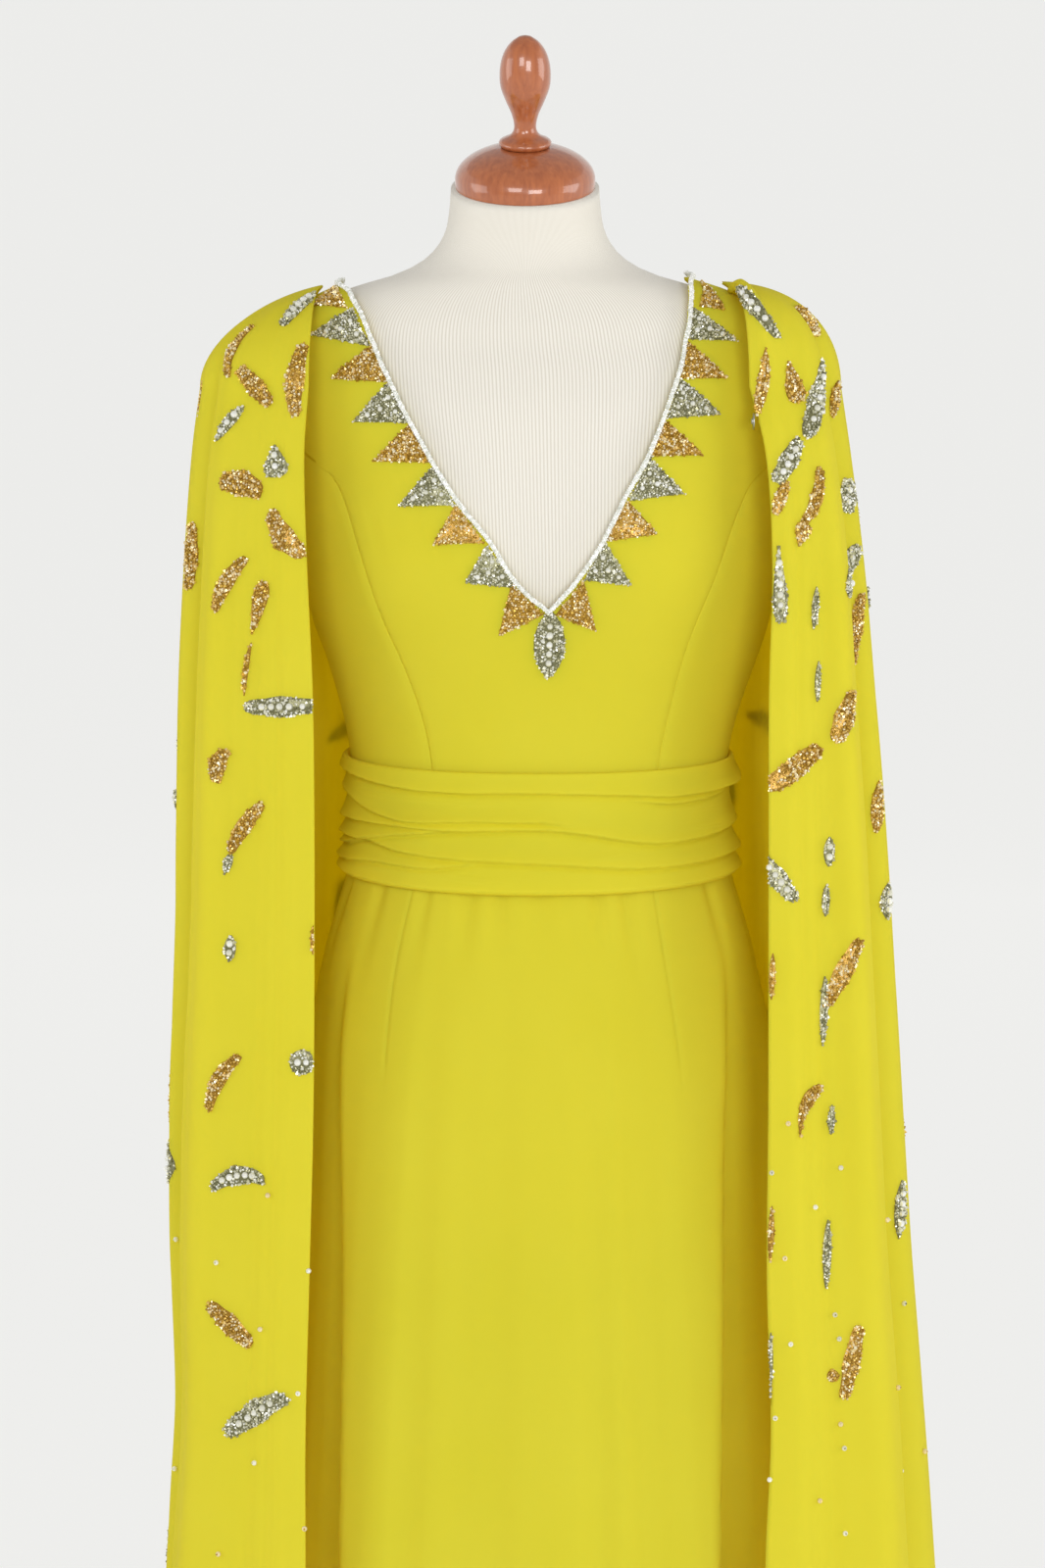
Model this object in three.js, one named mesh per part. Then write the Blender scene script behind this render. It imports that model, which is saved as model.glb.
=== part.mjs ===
// Floor-length evening dress with a long open cape, standing on a limbless dress form.
// Millimetres, +Z up, the dress faces -Y. The origin is the centre of the stand's underside.
// Every cloth piece is a wall worked out from a base surface: its inner and outer points are the
// surface's points moved along the surface's own normals.
import * as THREE from "three";

const DEG = Math.PI / 180;

// ---- Driving dimensions ----
const CLOTH = 2; // thickness of one cloth wall
const SEAM_GAP = 0.3; // between two pieces that are sewn together
const FORM_CLEARANCE = 3; // bodice and skirt top off the form
const SECTION_POWER = 2.2; // 2 is an ellipse, more is squarer
const WAIST_Z = 1090;
const SKIRT_HEM_Z = 28;
const CAPE_HEM_Z = 42;
const CAPE_HANG_Z = 1430; // the cape hangs free below this height
const V_ROW = 5; // panel row at which the front splits at the neckline's point
const PRINCESS_STEPS = 7;
const ARMHOLE_STEPS = 9;
const PANEL_COLUMNS = 8;
const SIDE_COLUMNS = 5;

// The form's sections: centre, half width, depth to the front and back of the widest point,
// and how steeply the section slopes towards the front.
const TORSO = [
  { z: 790, cx: 5, cy: 0, w: 168, front: 102, back: 112, lean: 0 },
  { z: 820, cx: 5, cy: 0, w: 175, front: 108, back: 118, lean: 0 },
  { z: 870, cx: 5, cy: 0, w: 177, front: 110, back: 122, lean: 0 },
  { z: 920, cx: 5, cy: 0, w: 174, front: 110, back: 121, lean: 0 },
  { z: 970, cx: 5, cy: 0, w: 166, front: 107, back: 114, lean: 0 },
  { z: 1020, cx: 5, cy: 0, w: 153, front: 102, back: 102, lean: 0 },
  { z: 1060, cx: 5, cy: 0, w: 143, front: 98, back: 92, lean: 0 },
  { z: 1100, cx: 5, cy: 0, w: 140, front: 96, back: 86, lean: 0 },
  { z: 1150, cx: 5, cy: 0, w: 143, front: 98, back: 86, lean: 0 },
  { z: 1190, cx: 5, cy: 0, w: 149, front: 102, back: 89, lean: 0 },
  { z: 1225, cx: 5, cy: 0, w: 157, front: 107, back: 92, lean: 0 },
  { z: 1255, cx: 4, cy: 0, w: 166, front: 111, back: 96, lean: 0 },
  { z: 1290, cx: 4, cy: 0, w: 174, front: 114, back: 100, lean: 0 },
  { z: 1335, cx: 3, cy: 0, w: 179, front: 114, back: 103, lean: 0 },
  { z: 1380, cx: 2, cy: 2, w: 184, front: 111, back: 103, lean: 0 },
  { z: 1415, cx: 1, cy: 4, w: 191, front: 107, back: 101, lean: 0 },
  { z: 1442, cx: 0, cy: 6, w: 194, front: 100, back: 97, lean: 0 },
  { z: 1462, cx: -2, cy: 7, w: 191, front: 93, back: 92, lean: 0 },
  { z: 1478, cx: -3, cy: 6, w: 185, front: 87, back: 88, lean: 0 },
  { z: 1491, cx: -4, cy: 5, w: 171, front: 81, back: 83, lean: 0 },
  { z: 1501, cx: -5, cy: 4, w: 151, front: 76, back: 79, lean: 0 },
  { z: 1509, cx: -6, cy: 3, w: 126, front: 72, back: 75, lean: 0 },
  { z: 1516, cx: -6, cy: 2, w: 102, front: 68, back: 71, lean: 0.02 },
  { z: 1524, cx: -6, cy: 0, w: 84, front: 64, back: 67, lean: 0.05 },
  { z: 1534, cx: -6, cy: -3, w: 71, front: 60, back: 62, lean: 0.1 },
  { z: 1548, cx: -6, cy: -7, w: 62, front: 56, back: 58, lean: 0.17 },
  { z: 1564, cx: -6, cy: -12, w: 58.5, front: 54.5, back: 56, lean: 0.25 },
  { z: 1582, cx: -6, cy: -16, w: 57, front: 54, back: 54, lean: 0.325 },
];
const BUST = { apart: 82, z: 1302, rise: 17, width: 58, above: 88, below: 58 };

// Inside of the skirt: it leaves the form below the waist and flares to the hem.
const SKIRT = [
  { z: 28, cx: 5, cy: 0, w: 286, front: 238, back: 254 },
  { z: 200, cx: 5, cy: 0, w: 264, front: 217, back: 230 },
  { z: 350, cx: 5, cy: 0, w: 246, front: 197, back: 208 },
  { z: 500, cx: 5, cy: 0, w: 229, front: 176, back: 186 },
  { z: 600, cx: 5, cy: 0, w: 219, front: 163, back: 172 },
  { z: 700, cx: 5, cy: 0, w: 209, front: 150, back: 158 },
  { z: 790, cx: 5, cy: 0, w: 200, front: 138, back: 147 },
  { z: 870, cx: 5, cy: 0, w: 192, front: 127, back: 138 },
  { z: 920, cx: 5, cy: 0, w: 185, front: 120, back: 130 },
  { z: 970, cx: 5, cy: 0, w: 173, front: 112, back: 119 },
  { z: 1020, cx: 5, cy: 0, w: 158, front: 106, back: 106 },
  { z: 1060, cx: 5, cy: 0, w: 146.6, front: 101.6, back: 95.6 },
  { z: 1090, cx: 5, cy: 0, w: 143.6, front: 99.5, back: 90.4 },
];

// Soft folds of the skirt: where round the body, how wide, where each starts and its depth at the
// hem. A negative depth is a trough.
const SKIRT_FOLDS = [
  { angle: -50, width: 10, start: 930, depth: -15 },
  { angle: -30, width: 12, start: 1010, depth: 7 },
  { angle: -13, width: 9, start: 960, depth: -6 },
  { angle: 3, width: 12, start: 1020, depth: 7 },
  { angle: 20, width: 10, start: 980, depth: -6 },
  { angle: 38, width: 8, start: 900, depth: 6 },
  { angle: 50, width: 10, start: 900, depth: -19 },
  { angle: 74, width: 11, start: 960, depth: -9 },
  { angle: 106, width: 12, start: 960, depth: -10 },
  { angle: 130, width: 11, start: 900, depth: -17 },
  { angle: 156, width: 12, start: 980, depth: -13 },
  { angle: -156, width: 12, start: 940, depth: -15 },
  { angle: -131, width: 11, start: 980, depth: -12 },
  { angle: -104, width: 12, start: 900, depth: -14 },
  { angle: -75, width: 11, start: 980, depth: -9 },
];

// Cut lines of the bodice, seen from the front: from the lower end up.
const NECKLINE_LEFT = [
  { x: 12, z: 1263 },
  { x: -16, z: 1287 },
  { x: -35, z: 1315 },
  { x: -58, z: 1343 },
  { x: -75, z: 1370 },
  { x: -96, z: 1408 },
  { x: -112, z: 1439 },
  { x: -127, z: 1474 },
  { x: -135, z: 1488 },
  { x: -143, z: 1498 },
  { x: -150, z: 1505 },
];
const NECKLINE_RIGHT = [
  { x: 12, z: 1263 },
  { x: 35, z: 1287 },
  { x: 54, z: 1314 },
  { x: 71, z: 1348 },
  { x: 86, z: 1375 },
  { x: 104, z: 1420 },
  { x: 113, z: 1446 },
  { x: 119, z: 1476 },
  { x: 121, z: 1492 },
  { x: 122, z: 1503 },
  { x: 125, z: 1510 },
];
const PRINCESS_LEFT = [
  { x: -76, z: 1090 },
  { x: -78, z: 1143 },
  { x: -85, z: 1180 },
  { x: -106, z: 1236 },
  { x: -134, z: 1313 },
  { x: -148, z: 1354 },
  { x: -161, z: 1370 },
  { x: -179, z: 1384 },
];
const PRINCESS_RIGHT = [
  { x: 95, z: 1090 },
  { x: 97, z: 1143 },
  { x: 105, z: 1185 },
  { x: 122, z: 1246 },
  { x: 147, z: 1310 },
  { x: 158, z: 1340 },
  { x: 167, z: 1358 },
  { x: 181, z: 1374 },
];
const ARMHOLE_LEFT = [
  { x: -179, z: 1384 },
  { x: -177, z: 1415 },
  { x: -180, z: 1446 },
  { x: -194, z: 1474 },
];
const ARMHOLE_RIGHT = [
  { x: 181, z: 1374 },
  { x: 179, z: 1410 },
  { x: 181, z: 1446 },
  { x: 190, z: 1474 },
];
const SIDE_SEAM_ANGLE = 93;
const UNDERARM_Z = 1335;
const BACK_NECK_Z = 1478;
const BACK_CENTRE_STEPS = 9;
const BACK_ARMHOLE = [
  { angle: 93, z: 1335 },
  { angle: 106, z: 1385 },
  { angle: 104, z: 1440 },
  { angle: 90, z: 1474 },
];

// The pleated cummerbund: its edges dip to the front, and each pleat laps over the one below.
const CUMMERBUND = {
  frontTop: 1138,
  backTop: 1152,
  frontBottom: 1047,
  backBottom: 1066,
  inside: FORM_CLEARANCE + CLOTH + 1.3,
  columns: 40,
  lip: 0.03,
  wander: 0.028,
};
// Each pleat from the bottom: the share of the height where it starts, how proud its lower lip
// stands, and where round the body its line wanders up.
const PLEATS = [
  { start: 0, proud: 4.2, peak: 10 },
  { start: 0.15, proud: 4.6, peak: 160 },
  { start: 0.34, proud: 3.6, peak: -60 },
  { start: 0.47, proud: 4.4, peak: 75 },
  { start: 0.66, proud: 4.8, peak: -120 },
  { start: 0.86, proud: 3.4, peak: 30 },
];

// The cape's halves. Rows: height, front edge, outermost point and centre back of the hanging
// cloth. Neck: where its top edge lies on the shoulder. Folds: share of the way from the front
// edge to the centre back, at the shoulder and at the hem, with width and depth; a negative depth
// is a trough, and each fold has its full depth below its own height.
const CAPE_SIDE_SHARE = 0.42;
const CAPE_BACK_SLOPE = 0.15;
const CAPES = {
  left: {
    side: -1,
    slope: 0.25,
    roundness: 1,
    rows: [
      { z: 42, frontX: -176, frontY: -232, sideX: -330, sideY: 12, backY: 302 },
      { z: 200, frontX: -175, frontY: -206, sideX: -314, sideY: 13, backY: 276 },
      { z: 370, frontX: -174, frontY: -182, sideX: -302, sideY: 14, backY: 250 },
      { z: 540, frontX: -173, frontY: -164, sideX: -291, sideY: 15, backY: 228 },
      { z: 640, frontX: -173, frontY: -154, sideX: -285, sideY: 16, backY: 214 },
      { z: 760, frontX: -170, frontY: -142, sideX: -288, sideY: 16, backY: 196 },
      { z: 880, frontX: -167, frontY: -131, sideX: -287, sideY: 16, backY: 178 },
      { z: 1000, frontX: -166, frontY: -121, sideX: -282, sideY: 16, backY: 160 },
      { z: 1100, frontX: -166, frontY: -113, sideX: -280, sideY: 15, backY: 144 },
      { z: 1200, frontX: -167, frontY: -108, sideX: -277, sideY: 14, backY: 134 },
      { z: 1300, frontX: -171, frontY: -104, sideX: -271, sideY: 12, backY: 129 },
      { z: 1380, frontX: -173, frontY: -96, sideX: -264, sideY: 10, backY: 122 },
      { z: 1430, frontX: -170, frontY: -84, sideX: -257, sideY: 8, backY: 113 },
    ],
    neck: [
      { u: 0, angle: 70, z: 1493 },
      { u: 0.2, angle: 83, z: 1498 },
      { u: 0.42, angle: 97, z: 1498 },
      { u: 0.7, angle: 130, z: 1481 },
      { u: 1, angle: 180, z: 1464 },
    ],
    folds: [
      { top: 0.26, hem: 0.35, width: 0.055, full: 1150, depth: -17 },
      { top: 0.1, hem: 0.12, width: 0.07, full: 900, depth: -6 },
      { top: 0.18, hem: 0.25, width: 0.05, full: 1200, depth: 4 },
      { top: 0.49, hem: 0.5, width: 0.06, full: 1150, depth: -18 },
      { top: 0.62, hem: 0.62, width: 0.055, full: 1000, depth: -20 },
      { top: 0.73, hem: 0.74, width: 0.055, full: 1150, depth: -16 },
      { top: 0.85, hem: 0.87, width: 0.06, full: 1000, depth: -19 },
    ],
  },
  right: {
    side: 1,
    slope: 0.05,
    roundness: 1.2,
    rows: [
      { z: 42, frontX: 178, frontY: -232, sideX: 354, sideY: 12, backY: 302 },
      { z: 200, frontX: 178, frontY: -206, sideX: 341, sideY: 13, backY: 276 },
      { z: 370, frontX: 177, frontY: -182, sideX: 329, sideY: 14, backY: 250 },
      { z: 540, frontX: 176, frontY: -164, sideX: 317, sideY: 15, backY: 228 },
      { z: 640, frontX: 180, frontY: -154, sideX: 309, sideY: 16, backY: 214 },
      { z: 760, frontX: 177, frontY: -142, sideX: 299, sideY: 16, backY: 196 },
      { z: 880, frontX: 178, frontY: -131, sideX: 291, sideY: 16, backY: 178 },
      { z: 1000, frontX: 178, frontY: -121, sideX: 283, sideY: 16, backY: 160 },
      { z: 1100, frontX: 178, frontY: -113, sideX: 276, sideY: 15, backY: 144 },
      { z: 1200, frontX: 178, frontY: -108, sideX: 267, sideY: 14, backY: 134 },
      { z: 1300, frontX: 180, frontY: -104, sideX: 257, sideY: 12, backY: 129 },
      { z: 1380, frontX: 175, frontY: -96, sideX: 246, sideY: 10, backY: 122 },
      { z: 1430, frontX: 163, frontY: -86, sideX: 238, sideY: 8, backY: 113 },
    ],
    neck: [
      { u: 0, angle: 74, z: 1496 },
      { u: 0.2, angle: 85, z: 1501 },
      { u: 0.42, angle: 97, z: 1500 },
      { u: 0.7, angle: 130, z: 1482 },
      { u: 1, angle: 180, z: 1464 },
    ],
    folds: [
      { top: 0.25, hem: 0.28, width: 0.06, full: 1150, depth: -16 },
      { top: 0.11, hem: 0.1, width: 0.06, full: 900, depth: -6 },
      { top: 0.17, hem: 0.2, width: 0.05, full: 1200, depth: 4 },
      { top: 0.48, hem: 0.5, width: 0.06, full: 1000, depth: -19 },
      { top: 0.6, hem: 0.62, width: 0.055, full: 1150, depth: -17 },
      { top: 0.72, hem: 0.74, width: 0.06, full: 1000, depth: -20 },
      { top: 0.85, hem: 0.86, width: 0.06, full: 1150, depth: -16 },
    ],
    // The front edge rolls outwards over the shoulder.
    roll: { at: 0.035, width: 0.05, height: 9 },
  },
};
const CAPE_COLUMNS = 34;
const CAPE_SHOULDER_ROWS = 5;
const CAPE_HANG_ROWS = 10;
const CAPE_ON_BODICE = FORM_CLEARANCE + CLOTH + 3; // inside of the cape's top edge off the form's surface

const CORD = { radius: 1.7, sides: 5, steps: 64 };
const SNAP = { radius: 6.5, thickness: 2.6, z: 1404 };

// The turned cap and finial stand on the slanted neck; heights are along their own axis.
const NECK_TILT = Math.atan(0.325);
const CAP = { radius: 54, band: 7, seat: 32, seatRadius: 20.5 };
const FINIAL_PROFILE = [
  { r: 18.5, h: 32.3 },
  { r: 20, h: 34.5 },
  { r: 20, h: 36.5 },
  { r: 17.5, h: 38.6 },
  { r: 12, h: 41 },
  { r: 9, h: 45 },
  { r: 8.6, h: 50 },
  { r: 10.6, h: 58 },
  { r: 15, h: 68 },
  { r: 18.7, h: 78 },
  { r: 19.6, h: 87 },
  { r: 18.7, h: 97 },
  { r: 15.4, h: 106.5 },
  { r: 10, h: 113.5 },
  { r: 4.5, h: 117.2 },
];
const FINIAL_TOP = 118;
const POLE_RADIUS = 15;
const BASE = { radius: 150, edge: 14, shoulder: 22, boss: 30, height: 44 };

// ---- Tables and small sums ----
const mix = (a, b, t) => a + (b - a) * t;
const clamp = (v, low, high) => Math.min(high, Math.max(low, v));
const ease = (t) => t * t * (3 - 2 * t);
const power = (v, e) => Math.sign(v) * Math.abs(v) ** e;
const lobe = (t) => (Math.abs(t) < 1 ? Math.cos((t * Math.PI) / 2) ** 2 : 0);

// A named column of a table at a place along another column, on a cubic curve through the rows.
function columnAt(rows, key, column, at) {
  const last = rows.length - 1;
  const k = clamp(rows.findIndex((row) => row[key] > at) - 1, 0, last - 1);
  const i = at >= rows[last][key] ? last - 1 : k;
  const slope = (j) => {
    const a = rows[Math.max(j - 1, 0)];
    const b = rows[Math.min(j + 1, last)];
    return (b[column] - a[column]) / (b[key] - a[key]);
  };
  const span = rows[i + 1][key] - rows[i][key];
  const t = clamp((at - rows[i][key]) / span, 0, 1);
  const bend = t * t * (3 - 2 * t);
  return (
    mix(rows[i][column], rows[i + 1][column], bend) +
    span * (t * (1 - t) ** 2 * slope(i) - t * t * (1 - t) * slope(i + 1))
  );
}

// Places along a line through a few places on the form, spaced evenly by length over the body.
function spread(places, steps) {
  const points = places.map(({ angle, z }) => torsoPoint(angle, z));
  const reach = [0];
  for (let i = 1; i < points.length; i++) {
    reach.push(reach[i - 1] + points[i].distanceTo(points[i - 1]));
  }
  const line = places.map((place, i) => ({ ...place, reach: reach[i] }));
  const total = reach[reach.length - 1];
  return Array.from({ length: steps + 1 }, (_, k) => {
    const at = (total * k) / steps;
    return { angle: columnAt(line, "reach", "angle", at), z: columnAt(line, "reach", "z", at) };
  });
}

// ---- Base surfaces ----
// A point of a section: angle 0 is the front centre, +90 the +X side, 180 the centre back.
function sectionPoint(rows, angle, z) {
  const row = (column) => columnAt(rows, "z", column, z);
  const depth = Math.cos(angle) > 0 ? row("front") : row("back");
  const bend = 2 / SECTION_POWER;
  return new THREE.Vector3(
    row("cx") + row("w") * power(Math.sin(angle), bend),
    row("cy") - depth * power(Math.cos(angle), bend),
    z,
  );
}

function torsoPoint(angle, z) {
  const point = sectionPoint(TORSO, angle, z);
  const lean = columnAt(TORSO, "z", "lean", z);
  const tall = z > BUST.z ? BUST.above : BUST.below;
  const height = Math.exp(-(((z - BUST.z) / tall) ** 2));
  const middle = columnAt(TORSO, "z", "cx", z);
  for (const apex of [-BUST.apart, BUST.apart]) {
    const across = Math.exp(-(((point.x - middle - apex) / BUST.width) ** 2));
    point.y -= BUST.rise * height * across * clamp(Math.cos(angle) * 2, 0, 1);
  }
  point.z += lean * (point.y - columnAt(TORSO, "z", "cy", z));
  return point;
}

function skirtPoint(angle, z) {
  const point = sectionPoint(SKIRT, angle, z);
  const outward = new THREE.Vector3(point.x - SKIRT[0].cx, point.y, 0).normalize();
  let depth = 0;
  for (const fold of SKIRT_FOLDS) {
    const fall = clamp((fold.start - z) / (fold.start - SKIRT_HEM_Z), 0, 1);
    const away = Math.atan2(Math.sin(angle - fold.angle * DEG), Math.cos(angle - fold.angle * DEG));
    depth += fold.depth * fall ** 0.7 * lobe(away / (fold.width * DEG));
  }
  return point.addScaledVector(outward, depth);
}

// The cape without folds: over the shoulder it runs from its top edge on a rounded line to the
// hanging cloth, whose sections are two joined quarter curves.
function hangPoint(cape, u, z) {
  const row = (column) => columnAt(cape.rows, "z", column, z);
  const bend = 2 / SECTION_POWER;
  const middle = columnAt(TORSO, "z", "cx", clamp(z, WAIST_Z, BACK_NECK_Z));
  const turn = (share) => share * 90 * DEG;
  if (u < CAPE_SIDE_SHARE) {
    const a = turn(u / CAPE_SIDE_SHARE);
    return new THREE.Vector3(
      mix(row("frontX"), row("sideX"), power(Math.sin(a), bend)),
      mix(row("sideY"), row("frontY"), power(Math.cos(a), bend)),
      z,
    );
  }
  const a = turn((u - CAPE_SIDE_SHARE) / (1 - CAPE_SIDE_SHARE));
  return new THREE.Vector3(
    mix(middle, row("sideX"), power(Math.cos(a), bend)),
    mix(row("sideY"), row("backY"), power(Math.sin(a), bend)),
    z,
  );
}

function capeRest(cape, u, v) {
  if (v >= 1) return hangPoint(cape, u, mix(CAPE_HANG_Z, CAPE_HEM_Z, v - 1));
  const angle = cape.side * columnAt(cape.neck, "u", "angle", u) * DEG;
  const z = columnAt(cape.neck, "u", "z", u);
  const neck = torsoPoint(angle, z).addScaledVector(
    normalOf(torsoPoint, angle, z),
    CAPE_ON_BODICE,
  );
  const hang = hangPoint(cape, u, CAPE_HANG_Z);
  const behind = clamp((u - CAPE_SIDE_SHARE) / (1 - CAPE_SIDE_SHARE), 0, 1);
  const out = Math.sin(v * 90 * DEG);
  const fall = (1 - Math.cos(v * 90 * DEG)) ** mix(cape.roundness, 1, behind);
  const down = mix(fall, out, mix(cape.slope, CAPE_BACK_SLOPE, behind));
  return new THREE.Vector3(
    mix(neck.x, hang.x, out),
    mix(neck.y, hang.y, out),
    mix(neck.z, hang.z, down),
  );
}

function capePoint(cape) {
  const rest = (u, v) => capeRest(cape, u, v);
  return (u, v) => {
    const point = rest(u, v);
    const start = v < 1 ? v * 0.3 : 0.3;
    let depth = 0;
    for (const fold of cape.folds) {
      const grown = clamp((CAPE_HANG_Z - point.z) / (CAPE_HANG_Z - fold.full), 0, 1);
      const at = mix(fold.top, fold.hem, clamp(v - 1, 0, 1));
      depth += fold.depth * mix(start, 1, ease(grown)) * ease(clamp(v * 1.6, 0, 1)) *
        lobe((u - at) / fold.width);
    }
    if (cape.roll) {
      const fade = ease(clamp(1.15 - v, 0, 1)) * clamp(v * 4 + 0.35, 0, 1);
      depth += cape.roll.height * fade * lobe((u - cape.roll.at) / cape.roll.width);
    }
    return point.addScaledVector(normalOf(rest, u, v, -cape.side), depth);
  };
}

// Outward unit normal of a surface of two parameters, from its slopes.
function normalOf(surface, a, b, side = 1) {
  const step = 1e-3;
  const along = surface(a + step, b).sub(surface(a - step, b));
  const up = surface(a, b + step).sub(surface(a, b - step));
  const normal = along.cross(up).normalize();
  return normal.multiplyScalar(side);
}

// ---- Walls ----
// A sheet gathers grids of places on a base surface into one wall. Grids that share an edge share
// its points, and every free edge gets a rim.
class Sheet {
  constructor() {
    this.outer = [];
    this.inner = [];
    this.faces = [];
    this.known = new Map();
  }

  vertex(outer, inner) {
    const name = outer.toArray().map((v) => v.toFixed(3)).join();
    if (!this.known.has(name)) {
      this.known.set(name, this.outer.length);
      this.outer.push(outer);
      this.inner.push(inner);
    }
    return this.known.get(name);
  }

  // points: rows of {outer, inner}.
  addGrid(points) {
    const index = points.map((row) => row.map((p) => this.vertex(p.outer, p.inner)));
    for (let j = 0; j + 1 < index.length; j++) {
      for (let i = 0; i + 1 < index[j].length; i++) {
        const [a, b] = [index[j][i], index[j][i + 1]];
        const [d, c] = [index[j + 1][i], index[j + 1][i + 1]];
        this.faces.push([a, b, c], [a, c, d]);
      }
    }
    return this;
  }

  geometry() {
    const count = this.outer.length;
    const triangles = [];
    const edges = new Map();
    for (const [a, b, c] of this.faces) {
      triangles.push([a, b, c], [c + count, b + count, a + count]);
      for (const [p, q] of [[a, b], [b, c], [c, a]]) edges.set(p + "," + q, [p, q]);
    }
    for (const [p, q] of edges.values()) {
      if (edges.has(q + "," + p)) continue;
      triangles.push([q, p, p + count], [q, p + count, q + count]);
    }
    return closedGeometry([...this.outer, ...this.inner], triangles);
  }
}

// A closed body from its points and triangles, turned so that its faces point out.
function closedGeometry(points, triangles) {
  let volume = 0;
  for (const [a, b, c] of triangles) {
    volume += points[a].dot(points[b].clone().cross(points[c]));
  }
  const turned = volume < 0 ? triangles.map(([a, b, c]) => [a, c, b]) : triangles;
  const geometry = new THREE.BufferGeometry();
  geometry.setAttribute(
    "position",
    new THREE.Float32BufferAttribute(points.flatMap((p) => p.toArray()), 3),
  );
  geometry.setIndex(turned.flat());
  geometry.computeVertexNormals();
  return geometry;
}

// A body lofted through closed rings, with a point in the middle of each end.
function loft(rings) {
  const count = rings[0].length;
  const points = rings.flat();
  const triangles = [];
  rings.slice(1).forEach((_, j) => {
    for (let i = 0; i < count; i++) {
      const [a, b] = [j * count + i, j * count + ((i + 1) % count)];
      triangles.push([a, b, b + count], [a, b + count, a + count]);
    }
  });
  const end = (ring, offset, flip) => {
    const middle = ring.reduce((sum, p) => sum.add(p), new THREE.Vector3());
    const centre = points.push(middle.divideScalar(count)) - 1;
    for (let i = 0; i < count; i++) {
      const pair = [offset + i, offset + ((i + 1) % count)];
      triangles.push([centre, ...(flip ? pair.reverse() : pair)]);
    }
  };
  end(rings[0], 0, true);
  end(rings[rings.length - 1], (rings.length - 1) * count, false);
  return closedGeometry(points, triangles);
}

// One place of a wall: a base point moved out to the wall's two faces.
function wallPlace(base, normal, inside, thickness) {
  return {
    base,
    outer: base.clone().addScaledVector(normal, inside + thickness),
    inner: base.clone().addScaledVector(normal, inside),
  };
}

// Moves one edge of a grid back from its seam line, square to the seam, by half the seam gap.
// Edge and next are that edge's places and those of the grid line beside it.
function drawBackLine(edge, next) {
  const square = edge.map((place, k) => {
    const ahead = edge[Math.min(k + 1, edge.length - 1)].base;
    const behind = edge[Math.max(k - 1, 0)].base;
    const normal = place.outer.clone().sub(place.inner);
    return ahead.clone().sub(behind).cross(normal).setLength(SEAM_GAP / 2);
  });
  const inwards = edge.reduce(
    (sum, place, k) => sum + square[k].dot(next[k].base.clone().sub(place.base)),
    0,
  );
  edge.forEach((place, k) => {
    place.outer.addScaledVector(square[k], Math.sign(inwards));
    place.inner.addScaledVector(square[k], Math.sign(inwards));
  });
}

function drawBack(grid, edges) {
  const column = (i) => grid.map((row) => row.at(i));
  const lines = {
    first: [column(0), column(1)],
    last: [column(-1), column(-2)],
    bottom: [grid.at(0), grid.at(1)],
    top: [grid.at(-1), grid.at(-2)],
  };
  for (const edge of edges) drawBackLine(...lines[edge]);
  return grid;
}

// ---- Bodice ----
// The angle at which a front-view place lies on the bodice.
function frontPlace({ x, z }) {
  const across = x - columnAt(TORSO, "z", "cx", z);
  const reach = columnAt(TORSO, "z", "w", z) + FORM_CLEARANCE + CLOTH;
  const share = clamp(across / reach, -1, 1);
  return { angle: Math.asin(power(share, SECTION_POWER / 2)), z };
}

const backPlace = (side) => ({ angle, z }) => ({ angle: side * angle * DEG, z });

// A panel between two lines of places, as rows from the waist up.
function panelGrid(firstLine, lastLine, columns) {
  return firstLine.map((a, j) => {
    const b = lastLine[j];
    return Array.from({ length: columns + 1 }, (_, i) => {
      const angle = mix(a.angle, b.angle, i / columns);
      const z = mix(a.z, b.z, i / columns);
      return wallPlace(
        torsoPoint(angle, z),
        normalOf(torsoPoint, angle, z),
        FORM_CLEARANCE,
        CLOTH,
      );
    });
  });
}

const lineOnForm = (rows, steps) => spread(rows.map(frontPlace), steps);

function centreLine() {
  const point = NECKLINE_LEFT[0];
  const waist = columnAt(TORSO, "z", "cx", WAIST_Z);
  return Array.from({ length: V_ROW + 1 }, (_, k) => ({
    x: mix(waist, point.x, k / V_ROW),
    z: mix(WAIST_Z, point.z, k / V_ROW),
  }));
}

function princessLine(side) {
  const rows = side < 0 ? PRINCESS_LEFT : PRINCESS_RIGHT;
  return lineOnForm(rows, PRINCESS_STEPS);
}

function sideSeamLine(side) {
  return Array.from({ length: PRINCESS_STEPS + 1 }, (_, k) => ({
    angle: side * SIDE_SEAM_ANGLE * DEG,
    z: mix(WAIST_Z, UNDERARM_Z, k / PRINCESS_STEPS),
  }));
}

function frontCentre() {
  const sheet = new Sheet();
  for (const side of [-1, 1]) {
    const neckline = side < 0 ? NECKLINE_LEFT : NECKLINE_RIGHT;
    const armhole = side < 0 ? ARMHOLE_LEFT : ARMHOLE_RIGHT;
    const upper = lineOnForm(neckline, PRINCESS_STEPS + ARMHOLE_STEPS - V_ROW);
    const inner = [...centreLine().map(frontPlace), ...upper.slice(1)];
    const outer = [...princessLine(side), ...lineOnForm(armhole, ARMHOLE_STEPS).slice(1)];
    const grid = drawBack(panelGrid(inner, outer, PANEL_COLUMNS), ["last", "bottom", "top"]);
    sheet.addGrid(side < 0 ? grid.map((row) => row.slice().reverse()) : grid);
  }
  return sheet.geometry();
}

function sideFront(side) {
  const grid = panelGrid(princessLine(side), sideSeamLine(side), SIDE_COLUMNS);
  return new Sheet().addGrid(drawBack(grid, ["first", "last", "bottom", "top"])).geometry();
}

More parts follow.
